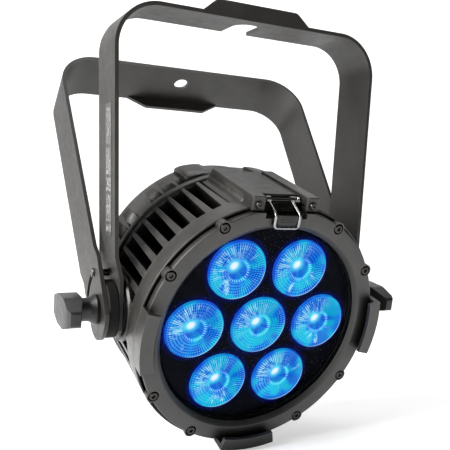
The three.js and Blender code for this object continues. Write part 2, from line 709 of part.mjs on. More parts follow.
function latchBail() {
  const half = [
    [BAIL_HALF, -PIN_DEPTH - 2.2, PIN_HEIGHT - 0.4],
    [BAIL_HALF, -50.2, 92.2],
    [BAIL_HALF, -50.2, 82.5],
  ];
  const other = half.map(([x, y, z]) => [-x, y, z]).reverse();
  const corners = [...half, ...other].map((point) => new THREE.Vector3(...point));
  const eyes = SIDES.map(({ sign }) => (
    ringAlongPin(sign * BAIL_HALF - 1.6, sign * BAIL_HALF + 1.6, 2.9)
  ));
  return cut(join(roundWire(bentWire(corners, 2.6), BAIL_WIRE, 34, 6), ...eyes), pinSpace(BAIL_HALF + 3));
}

// A plate between the bail's legs, with rounded lower corners.
function latchTab() {
  const half = 8.4;
  const round = 3;
  const bottom = 84.6;
  const top = 91.6;
  const outline = new THREE.Shape();
  outline.moveTo(-half, top);
  outline.lineTo(-half, bottom + round);
  outline.absarc(-half + round, bottom + round, round, Math.PI, 1.5 * Math.PI, false);
  outline.absarc(half - round, bottom + round, round, 1.5 * Math.PI, 2 * Math.PI, false);
  outline.lineTo(half, top);
  outline.closePath();
  return extrude(outline, 'y', -50.6, -49.2, 4);
}

function pinSpace(half) {
  return rod([-half, -PIN_DEPTH, PIN_HEIGHT], [half, -PIN_DEPTH, PIN_HEIGHT], 1.8, 1.8, 16);
}

function ringAlongPin(from, to, radius) {
  return rod([from, -PIN_DEPTH, PIN_HEIGHT], [to, -PIN_DEPTH, PIN_HEIGHT], radius, radius, 16);
}

// A torsion spring wound round the latch pin beside the bail.
class Coil extends THREE.Curve {
  constructor(from, to, radius, turns) {
    super();
    Object.assign(this, { from, to, radius, turns });
  }

  getPoint(t, target = new THREE.Vector3()) {
    const angle = 2 * Math.PI * this.turns * t;
    return target.set(
      this.from + (this.to - this.from) * t,
      -PIN_DEPTH + this.radius * Math.cos(angle),
      PIN_HEIGHT + this.radius * Math.sin(angle),
    );
  }
}

function latchScrew(sign) {
  const x = sign * LATCH_SCREW_X;
  const z = LATCH_SCREW_HEIGHT;
  const face = -SKIRT_FRONT - 2.7 - GAP;
  return join(
    rod([x, face, z], [x, face - 1.6, z], 2.8, 2.3, 16),
    rod([x, face + 8, z], [x, face - 0.4, z], 1.4, 1.4, 12),
  );
}

place(head, 'latch_bail', latchBail(), steel);
place(head, 'latch_tab', latchTab(), plastic);
place(head, 'latch_pin',
  rod([-19.7, -PIN_DEPTH, PIN_HEIGHT], [19.7, -PIN_DEPTH, PIN_HEIGHT], 1.5, 1.5, 16), blackSteel);
place(head, 'latch_spring', roundWire(new Coil(12.1, 16.2, 2.4, 4), 0.45, 32, 4), steel);
for (const { name, sign } of SIDES) {
  place(head, `latch_screw_${name}`, latchScrew(sign), blackSteel);
}

// ------------------------------------------------------------- rear cover and panel

const DISPLAY = { halfWide: 22, halfHigh: 9, height: 28 };
const PANEL = -COVER_FRONT;           // inner face of the cover
const BUTTON_X = [-21, -7, 7, 21];
const BUTTON_HEIGHT = 6;
const SOCKETS = [
  { name: 'power_inlet', x: -38, z: -14, reach: 7 },
  { name: 'power_outlet', x: 38, z: -14, reach: 7 },
  { name: 'dmx_inlet', x: -15, z: -41, reach: 2.5 },
  { name: 'dmx_outlet', x: 15, z: -41, reach: 2.5 },
];
const SOCKET_BARREL = 10.5;
const VALVE_HEIGHT = -13;
const EYE_HEIGHT = 72;
const EYE_HALF = 13;

// A hole through the cover along the beam.
function coverHole(x, z, radius, sides = 24) {
  return rod([x, -COVER_FRONT - 5, z], [x, -COVER_REAR + 5, z], radius, radius, sides);
}

function rearCover() {
  const plate = turned([
    [0, COVER_FRONT], [COVER_RADIUS, COVER_FRONT], [COVER_RADIUS, COVER_REAR + 1.5],
    [COVER_RADIUS - 1.5, COVER_REAR], [0, COVER_REAR],
  ]);
  const windowCut = extrude(
    rectangle(DISPLAY.halfWide + GAP, DISPLAY.halfHigh + GAP, 0, DISPLAY.height), 'y',
    -COVER_FRONT - 5, -COVER_REAR + 5,
  );
  const screws = COVER_SCREW_ANGLES.map((angle) => coverHole(...around(COVER_SCREW_CIRCLE, angle), 1.9, 8));
  const buttons = BUTTON_X.map((x) => coverHole(x, BUTTON_HEIGHT, 3.9, 12));
  const sockets = SOCKETS.map(({ x, z }) => coverHole(x, z, SOCKET_BARREL + 2 * GAP, 16));
  return cut(plate, windowCut, ...screws, ...buttons, ...sockets, coverHole(0, VALVE_HEIGHT, 4.3, 16));
}

// A panel socket: flange, barrel through the cover, and a ring groove round the
// block that holds the contacts.
function panelSocket({ x, z, reach }) {
  const seat = -COVER_REAR + GAP;
  const body = join(
    extrude(rectangle(13, 13, x, z), 'y', seat, seat + 2),
    rod([x, seat - 16, z], [x, seat + reach, z], SOCKET_BARREL, SOCKET_BARREL, 16),
  );
  const groove = cut(
    rod([x, seat + reach - 8, z], [x, seat + reach + 1, z], 8.4, 8.4, 16),
    rod([x, seat + reach - 9, z], [x, seat + reach - 1, z], 5.8, 5.8, 12),
  );
  return cut(body, groove);
}

function panelButton(x) {
  return join(
    rod([x, PANEL - 1.7, BUTTON_HEIGHT], [x, PANEL - GAP, BUTTON_HEIGHT], 4.7, 4.7, 12),
    rod([x, PANEL - 1, BUTTON_HEIGHT], [x, PANEL + 6.3, BUTTON_HEIGHT], 3.5, 3.3, 12),
  );
}

function controlBoard() {
  const posts = [[-30, 40], [30, 40], [-30, 0], [30, 0]].map(([x, z]) => (
    rod([x, PANEL - 5.6, z], [x, PANEL - GAP, z], 2, 2, 8)
  ));
  return join(
    box(-33, 33, PANEL - 6.7, PANEL - 5.1, -3, 43),
    box(-DISPLAY.halfWide, DISPLAY.halfWide, PANEL - 5.6, PANEL + 0.4, DISPLAY.height - 8, DISPLAY.height + 8),
    ...posts,
  );
}

function driverBoard() {
  const back = -BASE_REAR + GAP;
  const posts = [[-34, -28], [34, -28], [-34, 28], [34, 28]].map(([x, z]) => (
    rod([x, back, z], [x, back + 9, z], 3, 3, 12)
  ));
  return join(
    box(-39, 39, back + 8.5, back + 10.1, -33, 33),
    box(-30, -2, back + 9.5, back + 34, -24, 8),
    rod([16, back + 9.5, -14], [16, back + 36, -14], 10, 10, 20),
    box(4, 30, back + 9.5, back + 24, 6, 26),
    ...posts,
  );
}

function safetyEye() {
  const seat = -COVER_REAR + GAP;
  const corners = [
    [-EYE_HALF, seat + 1, EYE_HEIGHT], [-EYE_HALF, seat + 19, EYE_HEIGHT],
    [EYE_HALF, seat + 19, EYE_HEIGHT], [EYE_HALF, seat + 1, EYE_HEIGHT],
  ].map((point) => new THREE.Vector3(...point));
  const feet = [-EYE_HALF, EYE_HALF].map((x) => (
    rod([x, seat, EYE_HEIGHT], [x, seat + 2.5, EYE_HEIGHT], 5.5, 5, 20)
  ));
  return join(roundWire(bentWire(corners, 8), 3, 20, 8), ...feet);
}

function coverScrew(angle) {
  const [x, z] = around(COVER_SCREW_CIRCLE, angle);
  const seat = -COVER_REAR + GAP;
  return join(
    rod([x, seat, z], [x, seat + 2, z], 3.2, 2.6, 12),
    rod([x, -SHELL_REAR - 2.5, z], [x, seat + 0.5, z], 1.5, 1.5, 8),
  );
}

function ventValve() {
  const seat = -COVER_REAR + GAP;
  return join(
    rod([0, seat, VALVE_HEIGHT], [0, seat + 3.5, VALVE_HEIGHT], 7, 6.4, 8),
    rod([0, seat - 8, VALVE_HEIGHT], [0, seat + 1, VALVE_HEIGHT], 4, 4, 16),
  );
}

place(head, 'rear_gasket', turnedRing(DRUM_RADIUS - 3, DRUM_RADIUS + 3, COVER_FRONT + GAP, SHELL_REAR - GAP, 36), rubber);
place(head, 'rear_cover', rearCover(), castCoat);
place(head, 'driver_board', driverBoard(), board);
place(head, 'control_board', controlBoard(), board);
place(head, 'display_window', extrude(
  rectangle(DISPLAY.halfWide, DISPLAY.halfHigh, 0, DISPLAY.height), 'y', PANEL + 1.9, PANEL + 4.7,
), screen);
BUTTON_X.forEach((x, i) => {
  place(head, `button_${i + 1}`, panelButton(x), rubber);
});
for (const socket of SOCKETS) {
  place(head, socket.name, panelSocket(socket), plastic);
}
place(head, 'vent_valve', ventValve(), plastic);
place(head, 'safety_eye', safetyEye(), steel);
COVER_SCREW_ANGLES.forEach((angle, i) => {
  place(head, `rear_cover_screw_${i + 1}`, coverScrew(angle), blackSteel);
});

export default light;
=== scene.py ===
"""The looks of an LED par can light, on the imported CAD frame.

Shapes are drawn in millimetres about the tilt axis: X runs along the axis, -Y is the
front and +Z is up. Each one is then placed in the frame's metres.
"""

import json
import math
import random

import bmesh
import bpy
from mathutils import Matrix, Vector


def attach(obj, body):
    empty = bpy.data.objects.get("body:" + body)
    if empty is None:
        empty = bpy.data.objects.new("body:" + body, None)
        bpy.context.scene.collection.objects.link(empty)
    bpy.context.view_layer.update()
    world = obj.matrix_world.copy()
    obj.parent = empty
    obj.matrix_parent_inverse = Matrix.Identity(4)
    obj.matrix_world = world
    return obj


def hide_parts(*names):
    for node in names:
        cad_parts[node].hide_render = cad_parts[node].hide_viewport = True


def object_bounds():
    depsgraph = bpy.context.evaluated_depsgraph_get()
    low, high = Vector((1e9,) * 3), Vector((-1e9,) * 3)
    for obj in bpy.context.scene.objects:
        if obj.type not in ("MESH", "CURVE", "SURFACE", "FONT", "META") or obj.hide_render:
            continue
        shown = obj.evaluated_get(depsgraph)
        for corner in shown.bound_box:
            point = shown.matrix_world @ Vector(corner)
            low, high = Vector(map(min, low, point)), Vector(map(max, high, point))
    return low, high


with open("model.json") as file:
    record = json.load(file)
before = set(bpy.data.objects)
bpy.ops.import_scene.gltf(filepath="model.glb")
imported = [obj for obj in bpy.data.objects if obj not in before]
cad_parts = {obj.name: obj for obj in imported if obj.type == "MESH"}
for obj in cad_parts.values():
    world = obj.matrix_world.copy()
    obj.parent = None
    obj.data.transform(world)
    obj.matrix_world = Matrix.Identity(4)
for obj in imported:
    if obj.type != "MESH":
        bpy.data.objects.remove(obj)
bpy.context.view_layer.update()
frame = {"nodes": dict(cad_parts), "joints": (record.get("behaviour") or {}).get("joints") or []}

# ------------------------------------------------------------------ driving dimensions

HEAD_TILT = 21.1  # degrees below level
HANGING_LEAN = 30.4  # degrees back from upright
SWING_LEAN = -5.3
SHEET = 3.0  # yoke strip thickness, and from here on millimetres
HANGING = {
    "pivot_x": 115.2, "upper_x": 115.3, "splay": 0.0367, "height": 240.7,
    "width": 45.5, "shift": 4.2, "end": 22.8, "parallel": 35, "straight": 43,
}
SWING = {
    "pivot_x": 103.8, "upper_x": 106.7, "splay": 0.031, "height": 223.5,
    "width": 42.5, "shift": 4.4, "end": 21.5, "parallel": 24, "straight": 40,
}
BEND_RADIUS = 32.0
STOP_RADIUS = 28.2
STOP_ANGLE = 27.7
STOP_PIN_RADIUS = 2.6
HOLE_RADIUS = 6.8

SCREW_CIRCLE = 94.0
SCREW_ANGLES = (30, 60, 120, 150, 210, 240, 300, 330)
SKIRT_RADIUS = 99.2
SKIRT_FRONT = 42.5
SKIRT_REAR = 24.5
RING_FRONT = -28.0
RING_REAR = -36.5
RING_RADIUS = 100.0
SHELL_RADIUS = 98.4
SHELL_REAR = -70.0
SHELL_FLAT = 95.3
DRUM_RADIUS = 60.0
FIN_PITCH = 7.5
CUP_RADIUS = 80.0
BASE_FRONT = 13.7
BASE_REAR = 4.7
BOSS_RADIUS = 25.0
BOSS_FACE = 99.0
PAD_HALF = 26.5
PAD_FOOT_HALF = 34.0
PAD_TOP = 102.0
PAD_FRONT = 31.0

BEZEL_RADIUS = 96.2
BEZEL_BACK = 42.8
BEZEL_FACE = 48.5
OPENING_RADIUS = 80.8
GLASS_RADIUS = 86.5
CLIP_FRONT = 57.0
CLIP_OUTER = 99.6
CLIP_INNER = 90.0
CLIP_HALF_ANGLE = 13.5
LUG_RADIUS = 5.2

LENS_PITCH = 53.2
LENS_RADIUS = 22.9
LENS_FRONT = 40.4
PLATE_FRONT = 38.6

EAR_INNER = 17.0
EAR_OUTER = 27.4
EAR_FOOT = 93.0
EAR_TOP = 104.0
RECESS_FLOOR = 88.8
LATCH_SCREW_X = 22.2
LATCH_SCREW_HEIGHT = 97.8
PIN_DEPTH = 34.5
PIN_HEIGHT = 98.5
BAIL_HALF = 9.9

COVER_FRONT = -72.1
COVER_REAR = -76.1
COVER_RADIUS = 95.0

# ------------------------------------------------------------------------- placements


def joint_place(name):
    """Where the frame puts a joint, in metres."""
    joint = next(j for j in frame["joints"] if j["name"] == name)
    return Vector(joint["pos_m"])


def about_pivot(degrees):
    """Millimetres about the tilt axis, leaned by an angle, to the frame's metres."""
    turn = Matrix.Rotation(math.radians(degrees), 4, "X")
    return Matrix.Translation(joint_place("head_tilt")) @ turn @ Matrix.Scale(0.001, 4)


LEVEL = about_pivot(0)
HEAD = about_pivot(HEAD_TILT)
ON_HANGING = about_pivot(-HANGING_LEAN)
ON_SWING = about_pivot(-SWING_LEAN)

# ---------------------------------------------------------------------- shape helpers


def around(radius, angle):
    """x and z at a radius and an angle from +X."""
    return radius * math.cos(math.radians(angle)), radius * math.sin(math.radians(angle))


def new_object(verts, faces, name="shape"):
    mesh = bpy.data.meshes.new(name)
    mesh.from_pydata([tuple(v) for v in verts], [], faces)
    shape = bpy.data.objects.new(name, mesh)
    bpy.context.scene.collection.objects.link(shape)
    return outward(shape)


def outward(shape):
    """Welds loose corners and turns the faces outwards."""
    bm = bmesh.new()
    bm.from_mesh(shape.data)
    bmesh.ops.remove_doubles(bm, verts=bm.verts, dist=1e-4)
    bmesh.ops.dissolve_degenerate(bm, edges=bm.edges, dist=1e-5)
    bmesh.ops.recalc_face_normals(bm, faces=bm.faces)
    bm.to_mesh(shape.data)
    bm.free()
    return shape


def joined(shapes):
    """Several shapes as one mesh, without a boolean."""
    bm = bmesh.new()
    for shape in shapes:
        bm.from_mesh(shape.data)
        discard(shape)
    mesh = bpy.data.meshes.new("shape")
    bm.to_mesh(mesh)
    bm.free()
    result = bpy.data.objects.new("shape", mesh)
    bpy.context.scene.collection.objects.link(result)
    return result


def discard(shape):
    mesh = shape.data
    bpy.data.objects.remove(shape)
    bpy.data.meshes.remove(mesh)


def boolean(base, operation, *tools):
    """Cuts or joins the tools with the base, one after the other."""
    for tool in tools:
        modifier = base.modifiers.new("boolean", "BOOLEAN")
        modifier.operation = operation
        modifier.solver = "EXACT"
        modifier.object = tool
        bpy.context.view_layer.update()
        graph = bpy.context.evaluated_depsgraph_get()
        made = bpy.data.meshes.new_from_object(base.evaluated_get(graph))
        base.modifiers.clear()
        old = base.data
        base.data = made
        bpy.data.meshes.remove(old)
        discard(tool)
    return base


def cut(base, *tools):
    return boolean(base, "DIFFERENCE", *tools)


def union(base, *tools):
    return boolean(base, "UNION", *tools)


def move(shape, matrix):
    shape.data.transform(matrix)
    return shape


def spin(shape, angle):
    """Turns a shape about the beam axis."""
    return move(shape, Matrix.Rotation(-math.radians(angle), 4, "Y"))


def block(low, high):
    (x0, y0, z0), (x1, y1, z1) = low, high
    verts = [(x, y, z) for x in (x0, x1) for y in (y0, y1) for z in (z0, z1)]
    faces = [(0, 1, 3, 2), (4, 6, 7, 5), (0, 4, 5, 1), (2, 3, 7, 6), (0, 2, 6, 4), (1, 5, 7, 3)]
    return new_object(verts, faces)


def prism(outline, along, start, end):
    """A flat outline pushed along X, Y or Z. Its two directions are the other two axes."""
    place = {
        "x": lambda a, b, c: (c, a, b),
        "y": lambda a, b, c: (a, c, b),
        "z": lambda a, b, c: (a, b, c),
    }[along]
    count = len(outline)
    verts = [place(a, b, start) for a, b in outline] + [place(a, b, end) for a, b in outline]
    faces = [tuple(range(count)), tuple(range(count, 2 * count))]
    for i in range(count):
        j = (i + 1) % count
        faces.append((i, j, j + count, i + count))
    return new_object(verts, faces)


def rounded(corners, radius, step=9, closed=True):
    """A flat or spatial outline with its corners rounded, as far as its edges leave room.

    radius is one number, or one for each corner. step is in degrees of turn."""
    flat = len(corners[0]) == 2
    points = [Vector((*corner, 0)) if flat else Vector(corner) for corner in corners]
    count = len(points)
    radii = radius if isinstance(radius, (list, tuple)) else [radius] * count
    made = []
    for i, here in enumerate(points):
        before = points[i - 1] - here
        after = points[(i + 1) % count] - here
        at_end = not closed and i in (0, count - 1)
        if at_end or radii[i] <= 0 or before.angle(after) > math.pi - 0.02:
            made.append(here)
            continue
        half = before.angle(after) / 2
        reach = min(radii[i] / math.tan(half), 0.49 * before.length, 0.49 * after.length)
        inward = (before.normalized() + after.normalized()).normalized()
        centre = here + inward * (reach / math.cos(half))
        first = here + before.normalized() * reach - centre
        last = here + after.normalized() * reach - centre
        turn = first.angle(last)
        steps = max(2, round(math.degrees(turn) / step))
        for k in range(steps + 1):
            made.append(centre + Matrix.Rotation(turn * k / steps, 3, first.cross(last)) @ first)
    return [tuple(point)[:2] if flat else tuple(point) for point in made]


def loft(rings):
    """A skin over rings with the same number of points, closed at both ends."""
    count = len(rings[0])
    verts = [point for ring in rings for point in ring]
    faces = [tuple(range(count)), tuple(range(len(verts) - count, len(verts)))]
    for start in range(0, len(verts) - count, count):
        for i in range(count):
            j = (i + 1) % count
            faces.append((start + i, start + j, start + count + j, start + count + i))
    return new_object(verts, faces)


def lathe(profile, segments=144):
    """A shape turned about the beam axis from (radius, depth in front of the tilt axis)."""
    verts, faces, rings = [], [], []
    for radius, depth in profile:
        if radius < 1e-6:
            rings.append([len(verts)] * segments)
            verts.append((0, -depth, 0))
        else:
            rings.append(list(range(len(verts), len(verts) + segments)))
            for i in range(segments):
                x, z = around(radius, 360 * i / segments)
                verts.append((x, -depth, z))
    open_ends = profile[0][0] < 1e-6
    pairs = list(zip(rings, rings[1:])) + ([] if open_ends else [(rings[-1], rings[0])])
    for low, high in pairs:
        for i in range(segments):
            j = (i + 1) % segments
            face = []
            for corner in (low[i], low[j], high[j], high[i]):
                if corner not in face:
                    face.append(corner)
            if len(face) > 2:
                faces.append(tuple(face))
    return new_object(verts, faces)


def lathe_at(profile, x, z, segments=48):
    return move(lathe(profile, segments), Matrix.Translation((x, 0, z)))


def lathe_x(profile, sign, segments=64):
    """A shape turned about the tilt axis from (radius, distance from the middle)."""
    turned = lathe([(radius, -out) for radius, out in profile], segments)
    return move(turned, Matrix.Rotation(-sign * math.pi / 2, 4, "Z"))


def bar(start, end, radius, end_radius=None, sides=32):
    """A round bar between two points."""
    start, end = Vector(start), Vector(end)
    end_radius = radius if end_radius is None else end_radius
    along = (end - start).normalized()
    turn = Vector((0, 0, 1)).rotation_difference(along).to_matrix().to_4x4()
    verts = []
    for radius_here, height in ((radius, 0), (end_radius, (end - start).length)):
        for i in range(sides):
            x, y = around(radius_here, 360 * i / sides)
            verts.append((x, y, height))
    faces = [tuple(range(sides)), tuple(range(sides, 2 * sides))]
    faces += [(i, (i + 1) % sides, (i + 1) % sides + sides, i + sides) for i in range(sides)]
    return move(new_object(verts, faces), Matrix.Translation(start) @ turn)


def wire(points, radius, sides=12):
    """A round wire along points that are already smooth."""
    points = [Vector(p) for p in points]
    verts, faces = [], []
    side = (points[1] - points[0]).orthogonal().normalized()
    for i, point in enumerate(points):
        before = points[max(i - 1, 0)]
        after = points[min(i + 1, len(points) - 1)]
        along = (after - before).normalized()
        side = (side - along * side.dot(along)).normalized()
        up = along.cross(side)
        for k in range(sides):
            a, b = around(radius, 360 * k / sides)
            verts.append(point + side * a + up * b)
    for i in range(len(points) - 1):
        for k in range(sides):
            n = (k + 1) % sides
            faces.append((i * sides + k, i * sides + n, (i + 1) * sides + n, (i + 1) * sides + k))
    faces.append(tuple(range(sides)))
    faces.append(tuple(range((len(points) - 1) * sides, len(points) * sides)))
    return new_object(verts, faces)


def sector(inner, outer, start, end, steps=14):
    """The outline of part of a ring."""
    angles = [start + (end - start) * i / steps for i in range(steps + 1)]
    return [around(outer, a) for a in angles] + [around(inner, a) for a in reversed(angles)]


def rectangle(half_wide, half_high, x=0.0, z=0.0, corner=0.0):
    corners = [
        (x - half_wide, z - half_high), (x + half_wide, z - half_high),
        (x + half_wide, z + half_high), (x - half_wide, z + half_high),
    ]
    return rounded(corners, corner) if corner else corners


# --------------------------------------------------------------------------- finishing

SMOOTH_ANGLE = math.radians(33)


def soften(shape, width, segments=2, angle=33):
    """Rounds the sharp edges, as casting and coating do."""
    modifier = shape.modifiers.new("edge rounding", "BEVEL")
    modifier.width = width * 0.001
    modifier.segments = segments
    modifier.limit_method = "ANGLE"
    modifier.angle_limit = math.radians(angle)
    modifier.harden_normals = True
    modifier.use_clamp_overlap = True
    return shape


def shade(shape):
    """Smooth faces, with a crease wherever two faces meet at a sharp angle."""
    bm = bmesh.new()
    bm.from_mesh(shape.data)
    for face in bm.faces:
        face.smooth = True
    for edge in bm.edges:
        edge.smooth = len(edge.link_faces) == 2 and edge.calc_face_angle(0) < SMOOTH_ANGLE
    bm.to_mesh(shape.data)
    bm.free()
    return shape


def piece(name, shape, placement, body, material, slot, nodes=(), edge=0.0, segments=2):
    """Places a finished shape on its body, with its material, and hides the frame's parts that it stands for.
    """
    move(shape, placement)
    shape.name = name
    shape.data.name = name
    shape.data.materials.clear()
    shape.data.materials.append(material)
    shade(shape)
    if edge:
        soften(shape, edge, segments)
    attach(shape, body)
    if nodes:
        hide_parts(*nodes)
    return shape


# --------------------------------------------------------------------------- materials


def principled(name):
    material = bpy.data.materials.new(name)
    material.use_nodes = True
    nodes = material.node_tree.nodes
    return material, nodes, material.node_tree.links, nodes["Principled BSDF"]


def noise(nodes, links, scale, detail=3.0, roughness=0.6, source=None):
    """Noise over the surface. scale is its number of blotches to the metre."""
    texture = nodes.new("ShaderNodeTexNoise")
    texture.inputs["Scale"].default_value = scale
    texture.inputs["Detail"].default_value = detail
    texture.inputs["Roughness"].default_value = roughness
    if source is None:
        source = nodes.new("ShaderNodeTexCoord").outputs["Object"]
    links.new(source, texture.inputs["Vector"])
    return texture.outputs["Fac"]


def ramp(nodes, links, factor, stops):
    """Colours along a factor, from (position, colour) stops."""
    node = nodes.new("ShaderNodeValToRGB")
    elements = node.color_ramp.elements
    while len(elements) < len(stops):
        elements.new(0.5)
    for element, (position, colour) in zip(elements, stops):
        element.position = position
        element.color = (*colour, 1) if len(colour) == 3 else colour
    links.new(factor, node.inputs["Fac"])
    return node.outputs["Color"]


def grey(value):
    return (value, value, value)


def scaled(colour, by):
    return tuple(min(1.0, part * by) for part in colour)


def bump(nodes, links, height, distance, strength=1.0):
    node = nodes.new("ShaderNodeBump")
    node.inputs["Strength"].default_value = strength
    node.inputs["Distance"].default_value = distance
    links.new(height, node.inputs["Height"])
    return node.outputs["Normal"]


class Sums:
    """Short names for the arithmetic in a node tree."""

    def __init__(self, nodes, links):
        self.nodes = nodes
        self.links = links

    def feed(self, socket, value):
        if isinstance(value, (int, float)):
            socket.default_value = value
        else:
            self.links.new(value, socket)

    def do(self, operation, *values):
        node = self.nodes.new("ShaderNodeMath")
        node.operation = operation
        for socket, value in zip(node.inputs, values):
            self.feed(socket, value)
        return node.outputs["Value"]

    def band(self, value, low, high, blur):
        """One between two limits and nothing outside them, with soft ends."""
        rise = self.step(value, low - blur, low + blur)
        fall = self.step(value, high - blur, high + blur)
        return self.do("SUBTRACT", rise, fall)

    def step(self, value, low, high):
        node = self.nodes.new("ShaderNodeMapRange")
        node.interpolation_type = "SMOOTHSTEP"
        node.inputs["From Min"].default_value = low
        node.inputs["From Max"].default_value = high
        self.links.new(value, node.inputs["Value"])
        return node.outputs["Result"]

    def mix(self, factor, low, high):
        node = self.nodes.new("ShaderNodeMix")
        node.data_type = "RGBA"
        self.feed(node.inputs[0], factor)
        for socket, value in ((node.inputs[6], low), (node.inputs[7], high)):
            if isinstance(value, tuple):
                socket.default_value = (*value, 1)
            else:
                self.links.new(value, socket)
        return node.outputs[2]


WEAR_AND_HIGHLIGHT_WIDTH = 0.0011  # metres from a corner that is painted lighter, as rubbed wear and as painted highlight


def coated(name, colour, roughness, grain, depth, specular=0.5, crevice_shade=0.0, wear_and_highlight=0.0):
    """A textured coat: fine grain in the surface, and faint blotches in colour and sheen.

    The crevice distance, in metres, is how far facing walls paint shade on one another: painted shade, a
    darker colour and a weaker specular in hollows. The wear amount paints the corners lighter, partly as
    rubbed wear and partly as painted highlight."""
    material, nodes, links, shader = principled(name)
    sums = Sums(nodes, links)
    blotch = noise(nodes, links, 55, 5, 0.65)
    colours = ramp(nodes, links, blotch, [(0.3, scaled(colour, 0.78)), (0.72, scaled(colour, 1.28))])
    sheen = noise(nodes, links, 140, 4, 0.7)
    rough = ramp(nodes, links, sheen, [(0.25, grey(roughness - 0.07)), (0.75, grey(roughness + 0.08))])
    links.new(rough, shader.inputs["Roughness"])
    links.new(
        bump(nodes, links, noise(nodes, links, grain, 2.5, 0.55), depth),
        shader.inputs["Normal"],
    )
    # painted shade: ambient occlusion darkens the colour and the specular wherever walls face one another
    # closely
    if crevice_shade:
        openness = nodes.new("ShaderNodeAmbientOcclusion")
        openness.samples = 6
        openness.inputs["Distance"].default_value = crevice_shade
        open_part = sums.do("POWER", openness.outputs["AO"], 1.7)
        colours = sums.mix(open_part, scaled(colour, 0.05), colours)
        links.new(sums.do("MULTIPLY", open_part, specular), shader.inputs["Specular IOR Level"])
    else:
        shader.inputs["Specular IOR Level"].default_value = specular
    # rubbed wear and painted highlight: corners found by ambient occlusion inside the solid are painted
    # lighter
    if wear_and_highlight:
        rim = nodes.new("ShaderNodeAmbientOcclusion")
        rim.inside = True
        rim.samples = 6
        rim.inputs["Distance"].default_value = WEAR_AND_HIGHLIGHT_WIDTH
        thin = sums.do("SUBTRACT", 1.0, rim.outputs["AO"])
        rubbed_and_highlit = sums.do("MULTIPLY", sums.step(thin, 0.12, 0.5), sums.step(sheen, 0.3, 0.6))
        colours = sums.mix(sums.do("MULTIPLY", rubbed_and_highlit, wear_and_highlight), colours, scaled(colour, 6.0))
    links.new(colours, shader.inputs["Base Color"])
    return material


def metal(name, colour, roughness, streak=900):
    """Bare or plated metal with a drawn grain."""
    material, nodes, links, shader = principled(name)
    fine = noise(nodes, links, streak, 3, 0.6)
    links.new(
        ramp(nodes, links, fine, [(0.3, scaled(colour, 0.85)), (0.7, scaled(colour, 1.1))]),
        shader.inputs["Base Color"],
    )
    links.new(
        ramp(nodes, links, fine, [(0.2, grey(roughness - 0.08)), (0.8, grey(roughness + 0.1))]),
        shader.inputs["Roughness"],
    )
    links.new(bump(nodes, links, fine, 0.00003), shader.inputs["Normal"])
    shader.inputs["Metallic"].default_value = 1.0
    return material


WARM_BLACK = (0.0245, 0.0225, 0.0203)
sheet_coat = coated("yoke_powder_coat", scaled(WARM_BLACK, 0.84), 0.44, 2600, 0.00006, 0.42, wear_and_highlight=0.25)
cast_coat = coated(
    "casting_powder_coat", scaled(WARM_BLACK, 0.84), 0.37, 1700, 0.00014, 0.55, crevice_shade=0.018, wear_and_highlight=0.22,
)
moulded = coated("moulded_black", (0.014, 0.0135, 0.013), 0.4, 1500, 0.00005, 0.35)
soft_rubber = coated("black_rubber", (0.006, 0.006, 0.006), 0.7, 1800, 0.00005, 0.15)
black_steel = metal("black_oxide_steel", (0.05, 0.047, 0.044), 0.3)
bright_steel = metal("bright_wire_steel", (0.27, 0.27, 0.265), 0.24)
dull_steel = metal("zinc_plate", (0.3, 0.3, 0.29), 0.36)


def solid_colour(name, colour, roughness, specular=0.5):
    """A plain moulding or coating with a little life in its sheen."""
    return coated(name, colour, roughness, 1200, 0.00002, specular)


def clear_glass():
    """Coated sheet glass: seen through, with a weak reflection that grows at the edges."""
    material = bpy.data.materials.new("coated_glass")
    material.use_nodes = True
    nodes, links = material.node_tree.nodes, material.node_tree.links
    nodes.clear()
    output = nodes.new("ShaderNodeOutputMaterial")
    mixed = nodes.new("ShaderNodeMixShader")
    through = nodes.new("ShaderNodeBsdfTransparent")
    mirror = nodes.new("ShaderNodeBsdfGlossy")
    through.inputs["Color"].default_value = (0.96, 0.98, 1.0, 1)
    mirror.inputs["Roughness"].default_value = 0.03
    edge = nodes.new("ShaderNodeFresnel")
    edge.inputs["IOR"].default_value = 1.05
    smear = noise(nodes, links, 30, 2, 0.5)
    weaken = nodes.new("ShaderNodeMath")
    weaken.operation = "MULTIPLY"
    links.new(edge.outputs["Fac"], weaken.inputs[0])
    links.new(smear, weaken.inputs[1])
    links.new(weaken.outputs["Value"], mixed.inputs["Fac"])
    links.new(through.outputs["BSDF"], mixed.inputs[1])
    links.new(mirror.outputs["BSDF"], mixed.inputs[2])
    links.new(mixed.outputs["Shader"], output.inputs["Surface"])
    return material


FLUTES = 66
HOT_SPOT = (-0.15, 0.16)  # in lens radii from its middle


